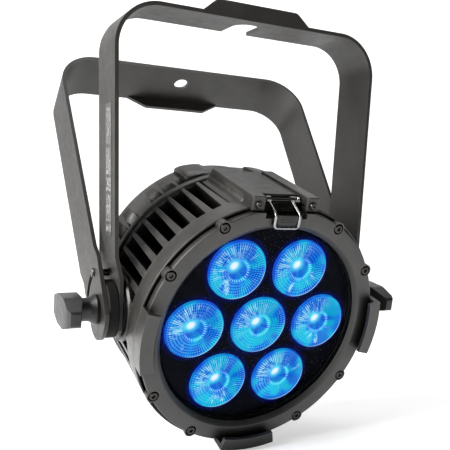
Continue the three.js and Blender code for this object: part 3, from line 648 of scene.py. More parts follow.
def lit_lens(number):
    """The glow of one lens: radial flutes, a hot spot and sectors of brighter light."""
    material = bpy.data.materials.new(f"lit_lens_{number}")
    material.use_nodes = True
    nodes, links = material.node_tree.nodes, material.node_tree.links
    shader = nodes["Principled BSDF"]
    sums = Sums(nodes, links)
    split = nodes.new("ShaderNodeSeparateXYZ")
    links.new(nodes.new("ShaderNodeTexCoord").outputs["Object"], split.inputs["Vector"])
    across = sums.do("DIVIDE", split.outputs["X"], LENS_RADIUS * 0.001)
    up = sums.do("DIVIDE", split.outputs["Z"], LENS_RADIUS * 0.001)
    out = sums.do("SQRT", sums.do("ADD", sums.do("MULTIPLY", across, across), sums.do("MULTIPLY", up, up)))
    angle = sums.do("ARCTAN2", up, across)
    unit_x = sums.do("DIVIDE", across, sums.do("ADD", out, 0.02))
    unit_z = sums.do("DIVIDE", up, sums.do("ADD", out, 0.02))

    def polar_noise(scale, spread, seed, detail=2.0):
        """Noise that streaks along the radius and closes on itself round the lens."""
        vector = nodes.new("ShaderNodeCombineXYZ")
        links.new(sums.do("MULTIPLY", unit_x, scale), vector.inputs["X"])
        links.new(sums.do("MULTIPLY", unit_z, scale), vector.inputs["Y"])
        links.new(sums.do("ADD", sums.do("MULTIPLY", out, spread), seed), vector.inputs["Z"])
        return noise(nodes, links, 1.0, detail, 0.6, vector.outputs["Vector"])

    seed = 3.7 * number
    wave = sums.do("SINE", sums.do("MULTIPLY", angle, float(FLUTES)))
    ridge = sums.step(wave, -0.7, 0.8)
    rings = sums.step(sums.do("SINE", sums.do("MULTIPLY", out, 62.0)), -0.9, 0.5)
    streak = polar_noise(8.0, 3.5, seed, 3.0)
    patch = polar_noise(1.15, 1.3, seed + 11.0, 1.5)
    sweep_light = polar_noise(2.6, 1.0, seed + 23.0, 1.0)
    deep = (0.0, 0.075, 0.72)
    mid = (0.0, 0.21, 0.84)
    cyan = (0.0, 0.6, 0.78)
    pale = (0.42, 0.86, 1.0)
    white = (0.86, 0.94, 1.0)
    base = sums.mix(sums.step(patch, 0.4, 0.5), deep, mid)
    base = sums.mix(sums.step(patch, 0.46, 0.58), base, cyan)
    # ribs along the radius, crossed by rings, with dark valleys between
    annulus = sums.band(out, 0.42, 0.95, 0.03)
    valley = sums.do("MULTIPLY", sums.do("SUBTRACT", 1.0, ridge), annulus)
    base = sums.mix(sums.do("MULTIPLY", valley, 0.62), base, (0.0, 0.05, 0.42))
    scale = sums.do("MULTIPLY", sums.do("MULTIPLY", ridge, rings), annulus)
    base = sums.mix(sums.do("MULTIPLY", scale, 0.6), base, (0.06, 0.72, 0.95))
    # bright streaks in the sector up and to the left, and in a few patches elsewhere
    lean = sums.do("ADD", sums.do("MULTIPLY", unit_x, -0.72), sums.do("MULTIPLY", unit_z, 0.69))
    facing = sums.step(lean, 0.0, 0.95)
    patches = sums.do("ADD", sums.do("MULTIPLY", facing, 0.8), sums.step(sweep_light, 0.6, 0.7))
    glint = sums.do("MULTIPLY", sums.step(streak, 0.44, 0.58), sums.band(out, 0.42, 0.86, 0.08))
    glint = sums.do("MINIMUM", sums.do("MULTIPLY", glint, patches), 1.0)
    on_ridge = sums.do("ADD", sums.do("MULTIPLY", ridge, 0.7), 0.3)
    base = sums.mix(sums.do("MULTIPLY", glint, on_ridge), base, pale)
    # the darker bowl, with a ring of bright dots round it
    bowl = sums.band(out, -1.0, 0.3, 0.04)
    base = sums.mix(sums.do("MULTIPLY", bowl, 0.8), base, (0.0, 0.12, 0.62))
    dots = sums.step(sums.do("SINE", sums.do("MULTIPLY", angle, 28.0)), -0.1, 0.7)
    ring = sums.do("MULTIPLY", dots, sums.band(out, 0.325, 0.395, 0.02))
    ring = sums.do("MULTIPLY", ring, sums.do("SUBTRACT", 1.0, facing))
    base = sums.mix(ring, base, (0.25, 0.85, 1.0))
    # the hot spot
    off_x = sums.do("SUBTRACT", across, HOT_SPOT[0])
    off_z = sums.do("MULTIPLY", sums.do("SUBTRACT", up, HOT_SPOT[1]), 1.05)
    squares = [sums.do("MULTIPLY", off, off) for off in (off_x, off_z)]
    far = sums.do("SQRT", sums.do("ADD", *squares))
    halo = sums.do("SUBTRACT", 1.0, sums.step(far, 0.14, 0.36))
    base = sums.mix(sums.do("MULTIPLY", halo, 0.7), base, (0.1, 0.85, 1.0))
    base = sums.mix(sums.do("SUBTRACT", 1.0, sums.step(far, 0.07, 0.21)), base, white)
    # a dimmer edge all round, with a painted highlight, a thin bright rim, at the lower right
    rim = sums.band(out, 0.965, 1.03, 0.012)
    # painted highlight: the rim is lit on the side away from the upper left
    away = sums.step(sums.do("MULTIPLY", lean, -1.0), 0.35, 0.95)
    base = sums.mix(sums.do("MULTIPLY", rim, 0.6), base, (0.01, 0.09, 0.6))
    base = sums.mix(sums.do("MULTIPLY", rim, away), base, (0.55, 0.85, 1.0))
    links.new(base, shader.inputs["Emission Color"])
    shader.inputs["Emission Strength"].default_value = 1.0
    shader.inputs["Base Color"].default_value = (0.0, 0.003, 0.01, 1)
    shader.inputs["Roughness"].default_value = 0.2
    shader.inputs["Specular IOR Level"].default_value = 0.12
    return material


def circuit_board():
    """Green board with darker tracks."""
    material, nodes, links, shader = principled("circuit_board")
    blotch = noise(nodes, links, 420, 1.5, 0.4)
    links.new(
        ramp(nodes, links, blotch, [(0.44, (0.012, 0.07, 0.025)), (0.52, (0.03, 0.16, 0.06))]),
        shader.inputs["Base Color"],
    )
    shader.inputs["Roughness"].default_value = 0.4
    return material


def display_glass():
    """A dark window with a faint sheen."""
    material, nodes, links, shader = principled("display_window_black")
    cloud = noise(nodes, links, 60, 2, 0.5)
    links.new(
        ramp(nodes, links, cloud, [(0.3, (0.002, 0.003, 0.006)), (0.7, (0.006, 0.01, 0.018))]),
        shader.inputs["Base Color"],
    )
    shader.inputs["Roughness"].default_value = 0.09
    return material


def lens_black():
    """Near-black plate, with the light that spills from the lenses round each one."""
    material, nodes, links, shader = principled("lens_plate_black")
    sums = Sums(nodes, links)
    split = nodes.new("ShaderNodeSeparateXYZ")
    links.new(nodes.new("ShaderNodeTexCoord").outputs["Object"], split.inputs["Vector"])
    nearest = None
    for x, z in lens_places:
        middle = HEAD @ Vector((x, -PLATE_FRONT, z))
        squares = []
        for axis, value in zip("XYZ", middle):
            gap = sums.do("SUBTRACT", split.outputs[axis], value)
            squares.append(sums.do("MULTIPLY", gap, gap))
        far = sums.do("SQRT", sums.do("ADD", sums.do("ADD", squares[0], squares[1]), squares[2]))
        nearest = far if nearest is None else sums.do("MINIMUM", nearest, far)
    spill = sums.do("SUBTRACT", 1.0, sums.step(nearest, LENS_RADIUS * 0.001, LENS_RADIUS * 0.00122))
    patch = noise(nodes, links, 90, 2, 0.5)
    glow = sums.do("MULTIPLY", spill, sums.do("ADD", sums.do("MULTIPLY", patch, 0.8), 0.3))
    links.new(sums.mix(glow, (0.0, 0.0, 0.0006), (0.0, 0.004, 0.11)), shader.inputs["Emission Color"])
    shader.inputs["Emission Strength"].default_value = 1.0
    shader.inputs["Base Color"].default_value = (0.0012, 0.0012, 0.002, 1)
    shader.inputs["Roughness"].default_value = 0.55
    shader.inputs["Specular IOR Level"].default_value = 0.03
    return material


lens_places = [(0.0, 0.0)] + [around(LENS_PITCH, 60 * i) for i in range(6)]
plate_black = lens_black()
glass = clear_glass()
board_green = circuit_board()
window_black = display_glass()
label_black = solid_colour("label_satin", (0.028, 0.028, 0.028), 0.3)
icon_grey = solid_colour("icon_grey", (0.3, 0.295, 0.285), 0.5)

SIDES = (("left", -1), ("right", 1))

# ------------------------------------------------------------------------------- yokes


def thickened(path, thickness):
    """The two edges of a flat open path that is given a thickness."""
    outer, inner = [], []
    for i, point in enumerate(path):
        here = Vector(point)
        out = (Vector(path[i + 1]) - here).normalized() if i < len(path) - 1 else None
        into = (here - Vector(path[i - 1])).normalized() if i else out
        out = out or into
        mitre = Vector((-into.y - out.y, into.x + out.x)).normalized()
        reach = thickness / 2 / mitre.dot(Vector((-out.y, out.x)))
        outer.append(here - mitre * reach)
        inner.append(here + mitre * reach)
    return outer, inner


def strip_path(spec):
    """The middle of the strip, seen from the front: up a leg, across and down the other."""
    middle = SHEET / 2
    top = spec["height"] - middle
    reach = [
        (spec["pivot_x"] - middle, -spec["end"] - 4),
        (spec["pivot_x"] - middle, spec["parallel"]),
        (spec["upper_x"] + spec["splay"] * spec["straight"] - middle, spec["straight"]),
        (spec["upper_x"] + spec["splay"] * top - middle, top),
    ]
    mirrored = [(-x, z) for x, z in reversed(reach)]
    radii = [0, 12, 12, BEND_RADIUS]
    return rounded(reach + mirrored, radii + radii[::-1], 4, closed=False)


def bent_strip(spec):
    front = spec["shift"] - spec["width"] / 2
    rear = spec["shift"] + spec["width"] / 2
    outer, inner = thickened(strip_path(spec), SHEET)
    rings = [
        [(o.x, front, o.y), (i.x, front, i.y), (i.x, rear, i.y), (o.x, rear, o.y)]
        for o, i in zip(outer, inner)
    ]
    end = spec["end"]
    round_end = [around(end, 180 + 180 * i / 40) for i in range(41)]
    shoulders = [(end, end * 0.4), (rear, end * 1.1), (rear, spec["height"] + 1)]
    other = [(front, spec["height"] + 1), (front, end * 1.1), (-end, end * 0.4)]
    side = rounded(round_end + shoulders + other, [0] * 41 + [20, 20, 0, 0, 20, 20], 6)
    reach = spec["upper_x"] + 20
    shape = boolean(loft(rings), "INTERSECT", prism(side, "x", -reach, reach))
    return cut(shape, bar((-reach, 0, 0), (reach, 0, 0), 5.6, sides=40))


def flange(edge, base, tip, base_half, tip_half):
    """A stiffening flange bent out of one edge of the crossbar."""
    corners = [(-base_half, base), (base_half, base), (tip_half, tip), (-tip_half, tip)]
    outline = rounded(corners, [0, 0, 7, 7])
    return prism(outline, "y", edge - SHEET / 2, edge + SHEET / 2)


def stop_slot():
    """The curved slots that the swing yoke's stop pins slide along."""
    rest = 90 - (STOP_ANGLE + SWING_LEAN - HANGING_LEAN)
    travel = 50
    half = STOP_PIN_RADIUS + 0.5
    reach = HANGING["pivot_x"] + 5
    low, high = rest - travel, rest
    outline = sector(STOP_RADIUS - half, STOP_RADIUS + half, low, high, 24)
    slot_shape = prism(outline, "x", -reach, reach)
    ends = []
    for angle in (low, high):
        y, z = around(STOP_RADIUS, angle)
        ends.append(bar((-reach, y, z), (reach, y, z), half, sides=28))
    return union(slot_shape, *ends)


def hanging_yoke():
    spec = HANGING
    edge = spec["shift"] + spec["width"] / 2 - SHEET / 2
    shape = union(
        bent_strip(spec),
        flange(edge, spec["height"] - 2, spec["height"] - 13.6, 50.5, 31),
    )
    hole = bar((0, 0, spec["height"] - 10), (0, 0, spec["height"] + 5), HOLE_RADIUS, sides=64)
    return cut(shape, hole, stop_slot())


def stop_place():
    turn = math.radians(STOP_ANGLE)
    return STOP_RADIUS * math.sin(turn), STOP_RADIUS * math.cos(turn)


def swing_yoke():
    spec = SWING
    edge = spec["shift"] - spec["width"] / 2 + SHEET / 2
    shape = union(
        bent_strip(spec),
        flange(edge, spec["height"] - 2, spec["height"] + 9.4, 48.5, 35),
    )
    notch_half, notch_front = 11.7, -6
    rear = spec["shift"] + spec["width"] / 2 + 5
    closed = [around(notch_half, 180 + 180 * i / 32) for i in range(33)]
    outline = [(x, y + notch_front + notch_half) for x, y in closed]
    outline += [(notch_half, rear), (-notch_half, rear)]
    notch = prism(outline, "z", spec["height"] - 8, spec["height"] + 5)
    y, z = stop_place()
    reach = spec["pivot_x"] + 5
    pins = bar((-reach, y, z), (reach, y, z), STOP_PIN_RADIUS + 0.3, sides=28)
    return cut(shape, notch, pins)


piece(
    "hanging_yoke_strip", hanging_yoke(), ON_HANGING, "hanging_yoke",
    sheet_coat, "steel_coat", ["hanging_yoke"], edge=0.55,
)
piece(
    "swing_yoke_strip", swing_yoke(), ON_SWING, "swing_yoke",
    sheet_coat, "steel_coat", ["swing_yoke"], edge=0.55,
)


def leg_label():
    """A blank rating plate on the outer face of the swing yoke's left leg."""
    low, high = 54, 150
    front, rear = -9, 6.5
    outer = SWING["upper_x"]
    outline = rounded([(front, low), (rear, low), (rear, high), (front, high)], 2)
    shape = prism(outline, "x", -outer - 0.25, -outer + 0.2)
    lean = Matrix.Shear("XY", 4, (0, 0))
    lean[0][2] = -SWING["splay"]
    return move(shape, lean)


piece(
    "rating_plate", leg_label(), ON_SWING, "swing_yoke", label_black, "plastic", edge=0.08,
)

# low and high end of each block of bars up the plate, and how wide its bars are
PRINT_BLOCKS = ((57, 62, 1.3), (64, 84, 0.42), (86, 96, 1.0), (98, 118, 0.42), (120, 147, 0.42))


def label_print():
    """Meaningless fine bars, in blocks, in place of the plate's print."""
    draw = random.Random(7)
    outer = SWING["upper_x"] + 0.25
    made = []
    for low, high, tall in PRINT_BLOCKS:
        y = -6.8
        while y < 4.6:
            z = low + draw.uniform(0, 1.5)
            while z < high:
                long = min(draw.uniform(0.8, 4.2), high - z + 0.3)
                if draw.random() < 0.8:
                    mark = rectangle(tall / 2, long / 2, y + tall / 2, z + long / 2)
                    made.append(prism(mark, "x", -outer - 0.06, -outer + 0.02))
                z += long + draw.uniform(0.5, 1.4)
            y += tall * 2.5
    lean = Matrix.Shear("XY", 4, (0, 0))
    lean[0][2] = -SWING["splay"]
    return move(joined(made), lean)


piece(
    "rating_plate_print", label_print(), ON_SWING, "swing_yoke", icon_grey, "plastic",
)

for side, sign in SIDES:
    y, z = stop_place()
    inner = SWING["pivot_x"] - SHEET + 0.2
    outer = HANGING["pivot_x"] + 0.6
    pin = lathe_x([
        (0, inner), (STOP_PIN_RADIUS - 0.3, inner), (STOP_PIN_RADIUS, inner + 0.3),
        (STOP_PIN_RADIUS, outer - 0.2), (3.5, outer - 0.2), (3.5, outer + 0.3),
        (3.1, outer + 0.8), (0, outer + 0.8),
    ], sign, 40)
    move(pin, Matrix.Translation((0, y, z)))
    piece(
        f"{side}_stop_pin_turned", pin, ON_SWING, "swing_yoke",
        black_steel, "steel", [f"{side}_stop_pin"],
    )

# ------------------------------------------------------------------- clamps and knobs

SWING_INNER = SWING["pivot_x"] - SHEET
HANGING_INNER = HANGING["pivot_x"] - SHEET
KNOB_START = HANGING["pivot_x"] + 2.0
KNOB_OUTER = 142.0
WING_HALF = 27.0
STUD_END = 130.0


def washer(sign, start, end, hole, rim, chamfer):
    return lathe_x([
        (hole, start), (rim - chamfer, start), (rim, start + chamfer),
        (rim, end - chamfer), (rim - chamfer, end), (hole, end),
    ], sign, 72)


def knob(sign, pitch):
    """A moulded wing knob: a waisted hub and a blunt two-ended wing."""
    tip, waist = 5.2, 11.2
    low = [(-WING_HALF, -tip), (-9, -waist), (9, -waist), (WING_HALF, -tip)]
    high = [(y, -z) for y, z in reversed(low)]
    wing = prism(rounded(low + high, [3, 9, 9, 3, 3, 9, 9, 3]), "x", sign * 128.5, sign * KNOB_OUTER)
    sides = [
        (-WING_HALF - 1, 133.5), (-10, 128.5), (10, 128.5), (WING_HALF + 1, 133.5),
        (WING_HALF - 0.5, 140), (WING_HALF - 4.5, KNOB_OUTER), (-WING_HALF + 4.5, KNOB_OUTER),
        (-WING_HALF + 0.5, 140),
    ]
    slab = prism([(sign * out, along) for along, out in sides], "z", -20, 20)
    hub = lathe_x([
        (5.3, KNOB_START), (11.2, KNOB_START), (11.5, KNOB_START + 0.4), (9, KNOB_START + 4),
        (8.6, KNOB_START + 5), (8.6, 131), (5.3, 131),
    ], sign, 72)
    bore = bar((sign * (KNOB_START - 1), 0, 0), (sign * (STUD_END + 0.3), 0, 0), 5.3, sides=48)
    shape = cut(union(boolean(wing, "INTERSECT", slab), hub), bore)
    return move(shape, Matrix.Rotation(math.radians(pitch), 4, "X"))


for side, sign in SIDES:
    boss_face = BOSS_FACE
    piece(
        f"{side}_inner_washer_ring", washer(sign, boss_face + 0.3, SWING_INNER - 0.3, 5.5, 20, 0.3),
        LEVEL, "head", soft_rubber, "rubber", [f"{side}_inner_washer"],
    )
    piece(
        f"{side}_friction_pad", washer(sign, SWING["pivot_x"] + 0.3, HANGING_INNER - 0.3, 5.5, 21.5, 0.8),
        LEVEL, "hanging_yoke", soft_rubber, "rubber", [f"{side}_friction_disc"],
    )
    piece(
        f"{side}_knob_washer_ring", washer(sign, HANGING["pivot_x"] + 0.3, KNOB_START - 0.3, 5.5, 11, 0.25),
        LEVEL, "hanging_yoke", black_steel, "steel", [f"{side}_knob_washer"],
    )
    stud = lathe_x([
        (0, 84), (4.6, 84), (5, 84.6), (5, STUD_END - 0.6), (4.6, STUD_END), (0, STUD_END),
    ], sign, 40)
    piece(
        f"{side}_clamp_stud", stud, LEVEL, f"{side}_knob", dull_steel, "steel", [f"{side}_knob_stud"],
    )
    piece(
        f"{side}_wing_knob", knob(sign, 9 if side == "left" else 13), LEVEL, f"{side}_knob",
        moulded, "plastic", [f"{side}_knob"], edge=0.8, segments=3,
    )

# --------------------------------------------------------------------------- heat sink

FINE = 240  # sides of the large turned shapes


def housing():
    """Cup, skirt, driver drum, middle ring and rear shell, turned in one."""
    profile = [
        (0, BASE_REAR), (DRUM_RADIUS - 4, BASE_REAR), (DRUM_RADIUS - 4, SHELL_REAR),
        (SHELL_RADIUS, SHELL_REAR), (SHELL_RADIUS, RING_REAR), (RING_RADIUS, RING_REAR),
        (RING_RADIUS, RING_FRONT), (84, RING_FRONT), (84, SHELL_REAR + 4),
        (DRUM_RADIUS, SHELL_REAR + 4), (DRUM_RADIUS, BASE_REAR + 1),
        (CUP_RADIUS + 7, BASE_REAR + 1), (CUP_RADIUS + 7, SKIRT_REAR),
        (SKIRT_RADIUS, SKIRT_REAR), (SKIRT_RADIUS, SKIRT_FRONT),
        (SKIRT_RADIUS - 1.3, SKIRT_FRONT), (SKIRT_RADIUS - 1.3, SKIRT_FRONT - 3.5),
        (93, SKIRT_FRONT - 3.5), (93, SKIRT_FRONT),
        (GLASS_RADIUS + 1, SKIRT_FRONT), (GLASS_RADIUS + 1, PLATE_FRONT + 0.3),
        (CUP_RADIUS, PLATE_FRONT + 0.3), (CUP_RADIUS, BASE_FRONT), (0, BASE_FRONT),
    ]
    round_by = {3: 2.5, 5: 3.5, 6: 3.5, 13: 1.2, 14: 1.2}
    radii = [round_by.get(i, 0) for i in range(len(profile))]
    return lathe(rounded(profile, radii, 18, closed=False), FINE)


# height, half width and reach behind the ring of each section of a scoop
SCOOP_STEPS = ((84, 4.2, 2.5), (92, 4.6, 4.5), (94.5, 5.2, 7.5), (100, 6.6, 16))


def scoops():
    """The hollows behind the middle ring, one above each space between two fins."""
    steps = [0] + [step for step in range(3, 23) if step % 4 != 2]
    made = []
    for step in steps:
        for angle in (90 - (step + 0.5) * FIN_PITCH, 90 + (step + 0.5) * FIN_PITCH):
            front = -RING_REAR + 0.3
            rings = []
            for height, half, rear in SCOOP_STEPS:
                rings.append([
                    (-half, front, height), (half, front, height),
                    (half * 0.75, -RING_REAR + rear, height), (-half * 0.75, -RING_REAR + rear, height),
                ])
            made.append(spin(loft(rings), angle - 90))
    return joined(made)


def fins():
    made = []
    count = round(360 / FIN_PITCH)
    for i in range(count):
        angle = i * FIN_PITCH
        if abs(angle - 90) < 20 or angle in (0, 180):
            continue
        plan = [
            (-1.7, -RING_FRONT + 3), (1.7, -RING_FRONT + 3),
            (3.0, -SKIRT_REAR - 2), (-3.0, -SKIRT_REAR - 2),
        ]
        made.append(spin(prism(plan, "z", DRUM_RADIUS - 1, SKIRT_RADIUS - 0.3), angle - 90))
    return joined(made)


def pad():
    """The smooth pad along the top, with hollow sides."""
    side = [(PAD_FOOT_HALF, 84), (PAD_FOOT_HALF, 92.3)]
    for i in range(1, 7):
        turn = math.radians(90 * i / 7)
        side.append((
            PAD_FOOT_HALF - (PAD_FOOT_HALF - PAD_HALF) * math.sin(turn),
            92.3 + (PAD_TOP - 92.3) * (1 - math.cos(turn)),
        ))
    side.append((PAD_HALF, PAD_TOP))
    outline = side + [(-x, z) for x, z in reversed(side)]
    return prism(outline, "y", -PAD_FRONT, -RING_FRONT + 3)


# depth behind the tilt axis, and how far the hump has risen there
HUMP_RISE = ((36.6, 0.2), (38, 0.65), (41, 0.93), (45, 1.0), (63, 1.0), (66, 0.8), (68.4, 0.1))
# degrees from the top, and the radius there
HUMP_CROWN = (
    (12.5, 100.0), (14, 100.9), (16, 101.6), (19, 102.6), (22, 103.4), (24.6, 103.3), (25.6, 102.2),
)


def hump(sign):
    """A raised bulge on the rear shell, highest on the side away from the top."""
    rings = []
    for depth, rise in HUMP_RISE:
        outline = [around(91, 90 + sign * 12.5)]
        for from_top, radius in HUMP_CROWN:
            outline.append(around(98.2 + (radius - 98.2) * rise, 90 + sign * from_top))
        outline.append(around(91, 90 + sign * 25.6))
        rings.append([(x, depth, z) for x, z in outline])
    return loft(rings)


def latch_ears():
    made = []
    for sign in (-1, 1):
        near, far = sorted((sign * EAR_INNER, sign * EAR_OUTER))
        long_part = block((near, -SKIRT_FRONT + 0.1, 88), (far, 28, EAR_TOP))
        front_part = block((near, -SKIRT_FRONT - 2.7, EAR_FOOT), (far, -SKIRT_FRONT + 1, EAR_TOP))
        x = sign * LATCH_SCREW_X
        hole = bar((x, -50, LATCH_SCREW_HEIGHT), (x, -37, LATCH_SCREW_HEIGHT), 1.7)
        made.append(cut(union(long_part, front_part), hole))
    bore = bar((-20, -PIN_DEPTH, PIN_HEIGHT), (20, -PIN_DEPTH, PIN_HEIGHT), 1.8)
    return cut(joined(made), bore)


def screw_holes(circle, angles, start, end, radius):
    made = []
    for angle in angles:
        x, z = around(circle, angle)
        made.append(bar((x, start, z), (x, end, z), radius, sides=20))
    return joined(made)


latch_recess = ((-EAR_INNER, -SKIRT_FRONT - 5, RECESS_FLOOR), (EAR_INNER, -PAD_FRONT, 110))
top_flat = ((-30, -RING_REAR + 0.4, SHELL_FLAT), (30, -SHELL_REAR + 1, 110))
body_shape = cut(
    housing(),
    scoops(),
    block(*latch_recess),
    block(*top_flat),
    joined([bar((s * 83, 0, 0), (s * 110, 0, 0), 5.3) for s in (-1, 1)]),
    screw_holes(SCREW_CIRCLE, SCREW_ANGLES, -SKIRT_FRONT - 1, -32, 2.3),
    bar((0, -BASE_FRONT - 1, 28), (0, -BASE_REAR + 1, 28), 6),
)
IN_HEAD = {"placement": HEAD, "body": "head"}
piece(
    "heat_sink_housing", body_shape, material=cast_coat, slot="cast_coat",
    nodes=["heat_sink"], **IN_HEAD,
)
piece(
    "heat_sink_fins", fins(), material=cast_coat, slot="cast_coat",
    nodes=["heat_sink"], edge=0.7, **IN_HEAD,
)
piece(
    "heat_sink_pad", pad(), material=cast_coat, slot="cast_coat",
    nodes=["heat_sink"], edge=1.0, **IN_HEAD,
)
piece(
    "heat_sink_humps", joined([hump(-1), hump(1)]), material=cast_coat, slot="cast_coat",
    nodes=["heat_sink"], edge=1.2, **IN_HEAD,
)
piece(
    "heat_sink_bosses", joined([
        cut(
            lathe_x([(0, 57), (BOSS_RADIUS, 57), (BOSS_RADIUS, BOSS_FACE - 1.5),
                     (BOSS_RADIUS - 1.5, BOSS_FACE), (0, BOSS_FACE)], sign, 96),
            lathe([(0, -60), (CUP_RADIUS, -60), (CUP_RADIUS, SKIRT_FRONT), (0, SKIRT_FRONT)], 96),
            bar((sign * 50, 0, 0), (sign * 110, 0, 0), 5.3),
        ) for sign in (-1, 1)
    ]), material=cast_coat, slot="cast_coat", nodes=["heat_sink"], edge=0.4, **IN_HEAD,
)
piece(
    "heat_sink_latch_ears", latch_ears(), material=cast_coat, slot="cast_coat",
    nodes=["heat_sink"], edge=0.9, segments=3, **IN_HEAD,
)

# ------------------------------------------------------------------ bezel and its parts


def clip(angle):
    """One of the three brackets that hold an accessory in front of the glass."""
    start, end = angle - CLIP_HALF_ANGLE, angle + CLIP_HALF_ANGLE
    lip_back = CLIP_FRONT - 3
    wall = prism(sector(96, CLIP_OUTER, start, end, 18), "y", -lip_back - 1, -BEZEL_BACK - 1)
    foot = prism(sector(93, CLIP_OUTER, start, end, 18), "y", -BEZEL_FACE, -BEZEL_BACK - 1)
    lip = prism(sector(CLIP_INNER, CLIP_OUTER, start, end, 18), "y", -CLIP_FRONT, -lip_back)
    return union(wall, foot, lip)


def bezel():
    flare = 3.9
    profile = [
        (BEZEL_RADIUS, BEZEL_BACK), (BEZEL_RADIUS, BEZEL_FACE), (OPENING_RADIUS + 3.7, BEZEL_FACE),
        (OPENING_RADIUS, BEZEL_FACE - flare), (GLASS_RADIUS + 0.6, BEZEL_FACE - flare),
        (GLASS_RADIUS + 0.6, BEZEL_BACK),
    ]
    ring = lathe(rounded(profile, [0, 0.9, 0.8, 0.3, 0, 0], 30), FINE)
    lugs = []
    seats = []
    bores = []
    for angle in SCREW_ANGLES:
        x, z = around(SCREW_CIRCLE, angle)
        lugs.append(bar((x, -BEZEL_BACK, z), (x, -BEZEL_FACE, z), LUG_RADIUS, sides=40))
        seats.append(bar((x, -BEZEL_FACE - 1, z), (x, -BEZEL_FACE + 2.2, z), 4.2, sides=40))
        bores.append(bar((x, -BEZEL_FACE - 1, z), (x, -BEZEL_BACK + 1, z), 2.4, sides=24))
    shape = union(ring, joined(lugs), joined([clip(angle) for angle in (0, 180, 270)]))
    pocket = lathe([
        (0, BEZEL_BACK - 2), (GLASS_RADIUS + 0.6, BEZEL_BACK - 2),
        (GLASS_RADIUS + 0.6, BEZEL_FACE - flare), (0, BEZEL_FACE - flare),
    ], FINE)
    low, high = -CLIP_FRONT, -BEZEL_BACK + 1
    notch = block((-EAR_INNER, low, RECESS_FLOOR), (EAR_INNER, high, 110))
    shelf = block((-EAR_OUTER - 0.3, low, EAR_FOOT - 0.3), (EAR_OUTER + 0.3, high, 110))
    return cut(shape, pocket, joined(seats), joined(bores), notch, shelf)


piece(
    "front_bezel_ring", bezel(), material=cast_coat, slot="cast_coat",
    nodes=["front_bezel"], edge=0.5, **IN_HEAD,
)
piece(
    "front_glass_sheet", lathe([
        (0, 41.4), (GLASS_RADIUS - 0.4, 41.4), (GLASS_RADIUS, 41.8), (GLASS_RADIUS, 43.8),
        (GLASS_RADIUS - 0.4, 44.2), (0, 44.2),
    ], FINE), material=glass, slot="clear", nodes=["front_glass"], **IN_HEAD,
)


def pan_screw(x, z, seat, radius, height, shank_end, shank, socket):
    """A domed screw along the beam, with a hexagon socket. Depths are along +Y."""
    head = [(0, -seat), (radius, -seat)]
    for i in range(1, 6):
        turn = math.radians(18 * i)
        head.append((
            radius - (radius * 0.28) * (1 - math.cos(turn)) - 0.15 * (i == 5),
            -seat + height * math.sin(turn),
        ))
    head.append((0, -seat + height))
    shape = lathe_at(head, x, z, 40)
    thread = bar((x, seat - 0.3, z), (x, shank_end, z), shank, sides=24)
    hexagon = bar((x, seat - height * 0.4, z), (x, seat - height - 2, z), socket, sides=6)
    return cut(union(shape, thread), hexagon)


for i, angle in enumerate(SCREW_ANGLES):
    x, z = around(SCREW_CIRCLE, angle)
    piece(
        f"bezel_screw_{i + 1}_pan", pan_screw(x, z, -BEZEL_FACE + 1.9, 3.6, 2.4, -33, 2, 1.7),
        material=black_steel, slot="black_steel", nodes=[f"bezel_screw_{i + 1}"], edge=0.12, **IN_HEAD,
    )

# -------------------------------------------------------------------------- the lenses


def lens_shape():
    """A lens about its own middle: flat rim, fluted dome and a small bowl. Millimetres."""
    count = 2 * FLUTES
    profile = [
        (6.0, 18.5, 0), (LENS_RADIUS - 2, 35.6, 0), (LENS_RADIUS, 35.6, 0),
        (LENS_RADIUS, LENS_FRONT - 0.7, 0), (LENS_RADIUS - 0.4, LENS_FRONT, 0),
        (LENS_RADIUS - 1.1, LENS_FRONT, 0), (LENS_RADIUS - 1.5, LENS_FRONT - 0.6, 0),
    ]
    dome_edge, bowl_edge = LENS_RADIUS - 1.8, 9.0
    for i in range(8):
        radius = dome_edge + (bowl_edge - dome_edge) * i / 7
        rise = 1 - (radius / dome_edge) ** 2
        flute = 0.22 * min(1.0, 3 * math.sin(math.pi * i / 7))
        profile.append((radius, LENS_FRONT - 0.5 + 0.9 * rise, flute))
    for radius, depth in ((8.4, 40.6), (7.6, 40.1), (5.0, 39.2), (2.5, 38.8)):
        profile.append((radius, depth, 0))
    verts, faces = [], []
    for radius, depth, flute in profile:
        for k in range(count):
            x, z = around(radius, 360 * k / count)
            verts.append((x, -depth - (flute if k % 2 else -flute), z))
    for ring in range(len(profile) - 1):
        for k in range(count):
            n = (k + 1) % count
            a, b = ring * count, (ring + 1) * count
            faces.append((a + k, a + n, b + n, b + k))
    faces.append(tuple(range(count)))
    faces.append(tuple(range((len(profile) - 1) * count, len(profile) * count)))
    return new_object(verts, faces)


for i, (x, z) in enumerate(lens_places):
    lens = lens_shape()
    placed = HEAD @ Matrix.Translation((x, 0, z))
    shrink = Matrix.Scale(0.001, 4)
    piece(
        f"lens_{i + 1}_fluted", lens, shrink, "head", lit_lens(i + 1), "lens", [f"lens_{i + 1}"],
    )
    lens.parent = None
    lens.matrix_world = placed @ shrink.inverted()
    bpy.context.view_layer.update()
    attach(lens, "head")


def lens_plate():
    edge = CUP_RADIUS - 0.3
    plate = lathe([
        (0, PLATE_FRONT - 2), (edge - 2, PLATE_FRONT - 2), (edge - 2, 16.2), (edge, 16.2),
        (edge, PLATE_FRONT - 0.3), (edge - 0.3, PLATE_FRONT), (0, PLATE_FRONT),
    ], 192)
    holes = [
        bar((x, -PLATE_FRONT - 1, z), (x, -PLATE_FRONT + 3, z), LENS_RADIUS + 0.3, sides=96)
        for x, z in lens_places
    ]
    return cut(plate, joined(holes))


piece(
    "lens_plate_disc", lens_plate(), material=plate_black, slot="plastic",
    nodes=["lens_plate"], edge=0.2, **IN_HEAD,
)

# --------------------------------------------------------------------------- the latch


def mirrored(half):
    return half + [(-x, y, z) for x, y, z in reversed(half)]


